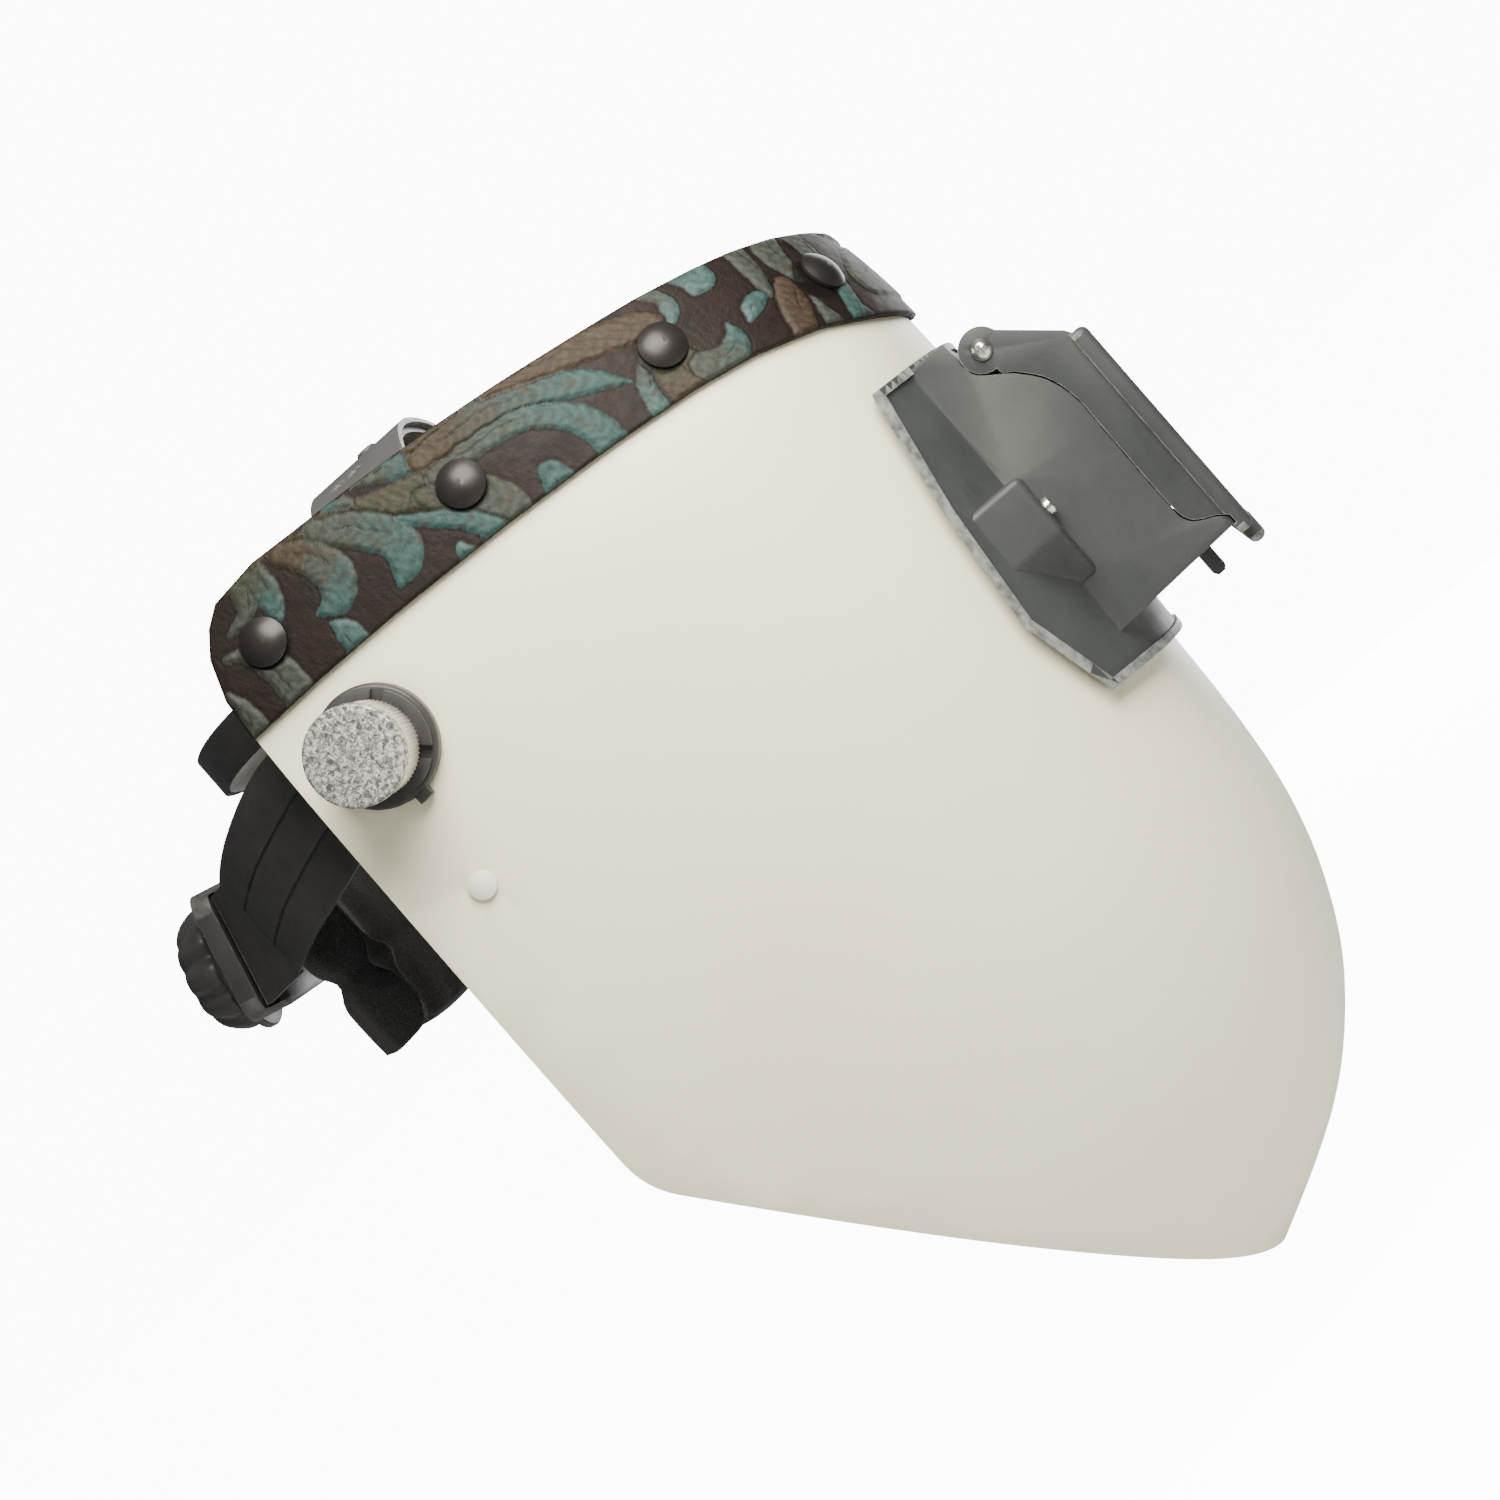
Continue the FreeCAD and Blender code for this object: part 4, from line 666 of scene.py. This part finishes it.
def stroke_field(s, y, stroke):
    """Depth inside the stroke, distance run along it and side offset, all in millimetres."""
    depth, run, side = np.full(s.shape, -99.0), np.zeros(s.shape), np.zeros(s.shape)
    walked = 0.0
    for (s0, y0, w0), (s1, y1, w1) in zip(stroke, stroke[1:]):
        ds, dy = s1 - s0, y1 - y0
        length = math.hypot(ds, dy)
        t = np.clip(((s - s0) * ds + (y - y0) * dy) / length**2, 0, 1)
        gone = np.hypot(s - s0 - ds * t, y - y0 - dy * t)
        inside = w0 + (w1 - w0) * t - gone
        better = inside > depth
        depth = np.where(better, inside, depth)
        run = np.where(better, walked + length * t, run)
        side = np.where(better, np.sign(ds * (y - y0) - dy * (s - s0)) * gone, side)
        walked += length
    return depth, run / walked, side, walked


def smoothstep(v):
    v = np.clip(v, 0, 1)
    return v * v * (3 - 2 * v)


def wobble(s, y, scale, seed):
    """Cheap smooth noise made of a few crossed waves."""
    a = np.sin(s / scale + seed) * np.cos(y / scale * 1.3 - seed * 2)
    b = np.sin((s * 0.6 + y) / scale * 1.7 + seed * 3) * np.cos((s - y * 0.7) / scale * 2.3 + seed)
    return 0.6 * a + 0.4 * b


def tooled(s, y):
    """Height in millimetres and paint of the tooling at the band positions s and y."""
    streak = wobble(s + y * 0.5, y * 0.35, 1.1, 4.0)
    height = 0.05 * wobble(s, y, 1.4, 2.0)
    paint = np.array(GROUND) * (1.0 + 0.28 * wobble(s, y, 5.0, 1.0) + 0.22 * streak)[:, None]
    for number, (start, end, points) in enumerate(LEAVES):
        stroke = stroke_points(points)
        near = ((s > stroke[:, 0].min() - 14) & (s < stroke[:, 0].max() + 14))
        if not near.any():
            continue
        ss, yy = s[near], y[near]
        depth, along, side, length = stroke_field(ss, yy, stroke)
        depth = depth + 0.35 * wobble(ss, yy, 1.2, number)
        edge = smoothstep((depth + 0.9) / 0.9) * (depth < 0)
        body = smoothstep(depth / 0.45)
        feather = np.sin(along * length * 1.9 + np.abs(side) * 1.5 + 1.3 * wobble(ss, yy, 1.6, number + 5))
        vein = smoothstep(1 - np.abs(side - 0.9 - 0.8 * wobble(ss, yy, 3.0, number)) / 0.42)
        vein = vein * smoothstep((0.62 - along) / 0.2) * smoothstep((along - 0.08) / 0.1) * (depth > 1.4)
        rise = 0.62 * smoothstep(depth / 1.7) + 0.05 * feather * body - 0.26 * vein
        mix = smoothstep(along * 1.25 - 0.1 + 0.22 * wobble(ss, yy, 2.2, number + 2))[:, None]
        tone = np.array(PAINTS[start]) * (1 - mix) + np.array(PAINTS[end]) * mix
        tone = tone * (1.0 + 0.16 * feather + 0.14 * wobble(ss, yy, 1.0, number + 9))[:, None]
        rubbed = smoothstep((wobble(ss, yy, 2.7, number * 1.7) - 0.30) / 0.5)[:, None] * 0.5
        tone = tone * (1 - rubbed) + np.array(PAINTS["tan"]) * rubbed
        if (start, end) == ("tan", "tan"):
            scratch = smoothstep((np.sin((ss + yy * 1.1) * 1.5 + wobble(ss, yy, 4, 3) * 2) - 0.45) / 0.4)
            scratch = (scratch * (depth > 0.6))[:, None]
            tone = tone * (1 - scratch) + np.array(PAINTS["rust"]) * scratch
        tone = tone * (1 - 0.8 * vein[:, None]) + np.array(SEAM) * 0.8 * vein[:, None]
        dark = 0.75 * edge[:, None]
        under = paint[near] * (1 - dark) + np.array(SEAM) * dark
        paint[near] = under * (1 - body[:, None]) + tone * body[:, None]
        height[near] = (height[near] - 0.14 * edge) * (1 - body) + rise * body
    return height, np.clip(paint, 0, 1)


print("leaves on each side", len(LEAVES))

# %% [markdown]
# Now the grid itself. Columns run round the hood and rows run from hem to top edge; the outer rows and
# columns dive towards the shell, so the cut edge has its thickness, and a plain underside closes it.

# %% Leather band
COLUMNS, ROWS = 1120, 76
SNAPS = [(-6, 40.6), (61.2, 37.2), (123.3, 30.6), (165.6, 20.4)]   # reach and height, in mm
EDGE_DEPTHS = (0.55, 1.6, 2.35, 2.56)
EDGE_SPREAD = (-0.25, -0.30, -0.12, 0.10)      # how far each edge row stands past the cut, in mm


def band_grid():
    pick_nothing()
    bpy.ops.mesh.primitive_grid_add(x_subdivisions=COLUMNS - 1, y_subdivisions=ROWS - 1, size=1)
    band = bpy.context.active_object
    band.name = "crown_band"
    flat = np.empty(len(band.data.vertices) * 3)
    band.data.vertices.foreach_get("co", flat)
    flat = flat.reshape(-1, 3)
    col = np.rint((flat[:, 0] + 0.5) * (COLUMNS - 1)).astype(int)
    row = np.rint((flat[:, 1] + 0.5) * (ROWS - 1)).astype(int)
    return band, col, row


def edge_profile(index, count, span):
    """Share from 0 to 1 and outward offset for the rows or columns of the band."""
    k = len(EDGE_DEPTHS)
    inner = 0.35
    share = np.interp(index, [k - 1, count - k], [inner, span - inner])
    depth = np.full(index.shape, 2.62)
    for e in range(k):
        share = np.where(index == e, EDGE_SPREAD[e], share)
        share = np.where(index == count - 1 - e, span - EDGE_SPREAD[e], share)
        depth = np.where((index == e) | (index == count - 1 - e), EDGE_DEPTHS[e], depth)
    return share, depth


def placed_on_hood(run, height_mm, d):
    """Points at a run along one side and a height above the hem, moved out by d, in millimetres."""
    angle = np.interp(np.clip(run, 0, HALF_RUN), RUN, ANGLES)
    t0 = np.cos(angle) ** (2 / N30)
    share = height_mm / 33.5
    z = 24 + share * 33
    for _ in range(8):
        f = grown_level(z, 2.5)[1]
        rear = np.interp(z, REAR_EDGE[:, 0], REAR_EDGE[:, 1])
        t = t0 + (1 - t0) * (rear - REAR) / (f - REAR)
        reach = REAR + t * (f - REAR)
        top = np.interp(reach, BAND_TOP[:, 0], BAND_TOP[:, 1]) + 0.6
        hem = np.interp(reach, BAND_HEM[:, 0], BAND_HEM[:, 1])
        z = hem + share * (top - hem)
    w, f, n = grown_level(z, d)
    reach = REAR + t * (f - REAR) + np.minimum(run, 0)
    x = w * np.clip(1 - t**n, 0, 1) ** (1 / n)
    true_run = np.interp(np.arccos(np.clip(t, 0, 1) ** (N30 / 2)), ANGLES[::-1], RUN[::-1])
    return x, reach, z, true_run


band, col, row = band_grid()
along, depth_c = edge_profile(col, COLUMNS, 2 * HALF_RUN)
up, depth_r = edge_profile(row, ROWS, 33.5)
left = along > HALF_RUN
run = np.where(left, 2 * HALF_RUN - along, along)
*_, true_run = placed_on_hood(run, up, 2.62)
relief, paint = tooled(true_run, up)
inner = (depth_c > 2.6) & (depth_r > 2.6)
bare = np.stack(placed_on_hood(run, up, 2.62)[:3], axis=1)
for snap_reach, snap_z in SNAPS:
    w, f, n = (float(v) for v in grown_level(float(snap_z), 2.62))
    snap_x = w * (1 - ((snap_reach - REAR) / (f - REAR)) ** n) ** (1 / n)
    gone = np.linalg.norm(bare - np.array([snap_x, snap_reach, snap_z]), axis=1)
    relief = relief * smoothstep((gone - 6.2) / 1.4) - 0.06 * (gone < 7.0)
    # the leather round each snap cap is painted up to 70% darker: a painted shadow of the cap
    paint = paint * (1 - 0.7 * smoothstep((8.2 - gone) / 1.6))[:, None]
relief = np.where(inner, np.maximum(relief, -0.1), 0.0)
x, reach, z, _ = placed_on_hood(run, up, np.minimum(depth_c, depth_r) + relief)
co = np.stack([np.where(left, x, -x), -reach, z], axis=1) * MM
band.data.vertices.foreach_set("co", co.ravel())
edge = np.minimum(depth_c, depth_r)
paint = np.where((edge < 2.5)[:, None], np.array(SEAM) * 1.6, paint)
tint = band.data.attributes.new("paint", "FLOAT_COLOR", "POINT")
tint.data.foreach_set("color", np.concatenate([paint, np.ones((len(paint), 1))], axis=1).ravel())

work = bmesh.new()
work.from_mesh(band.data)
work.verts.ensure_lookup_table()
at_cell = {(int(c), int(r)): k for k, (c, r) in enumerate(zip(col, row))}
low = [work.verts[at_cell[c, 0]] for c in range(COLUMNS)]
high = [work.verts[at_cell[c, ROWS - 1]] for c in range(COLUMNS)]
for c in range(COLUMNS - 1):
    work.faces.new((low[c], low[c + 1], high[c + 1], high[c]))
for c in (0, COLUMNS - 1):
    work.faces.new([work.verts[at_cell[c, r]] for r in range(ROWS)])
bmesh.ops.recalc_face_normals(work, faces=work.faces)
work.to_mesh(band.data)
work.free()
for polygon in band.data.polygons:
    polygon.use_smooth = True
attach(band, "hood")
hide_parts("crown_leather")
print("leather band", len(band.data.vertices), "points,", round(2 * HALF_RUN), "mm long")

# %% Painted leather
def painted_leather():
    """Reads the tooling's own paint from the band, then adds pores, fine wrinkles and rubbed gloss."""
    f = Finish("painted_leather", (0.15, 0.2, 0.2), 0.6, Specular_IOR_Level=0.16)
    paint = f.tree.nodes.new("ShaderNodeAttribute")
    paint.attribute_name = "paint"
    mottled = f.ramp(f.noise(2.4, 5, 0.65), [(0.30, (0.62, 0.60, 0.58)), (0.70, (1.0, 1.0, 1.0))])
    blend = f.tree.nodes.new("ShaderNodeMix")
    blend.data_type, blend.blend_type = "RGBA", "MULTIPLY"
    blend.inputs[0].default_value = 1.0
    f.tree.links.new(paint.outputs["Color"], blend.inputs[6])
    f.tree.links.new(mottled, blend.inputs[7])
    f.join(blend.outputs[2], "Base Color")
    f.join(f.band(f.noise(4, 4), 0.48, 0.74), "Roughness")
    f.bump(f.cells(0.7), 0.10, 0.5).bump(f.noise(1.6, 5, 0.6), 0.22, 0.7)
    return f.material


band.data.materials.append(painted_leather())
print("leather painted")
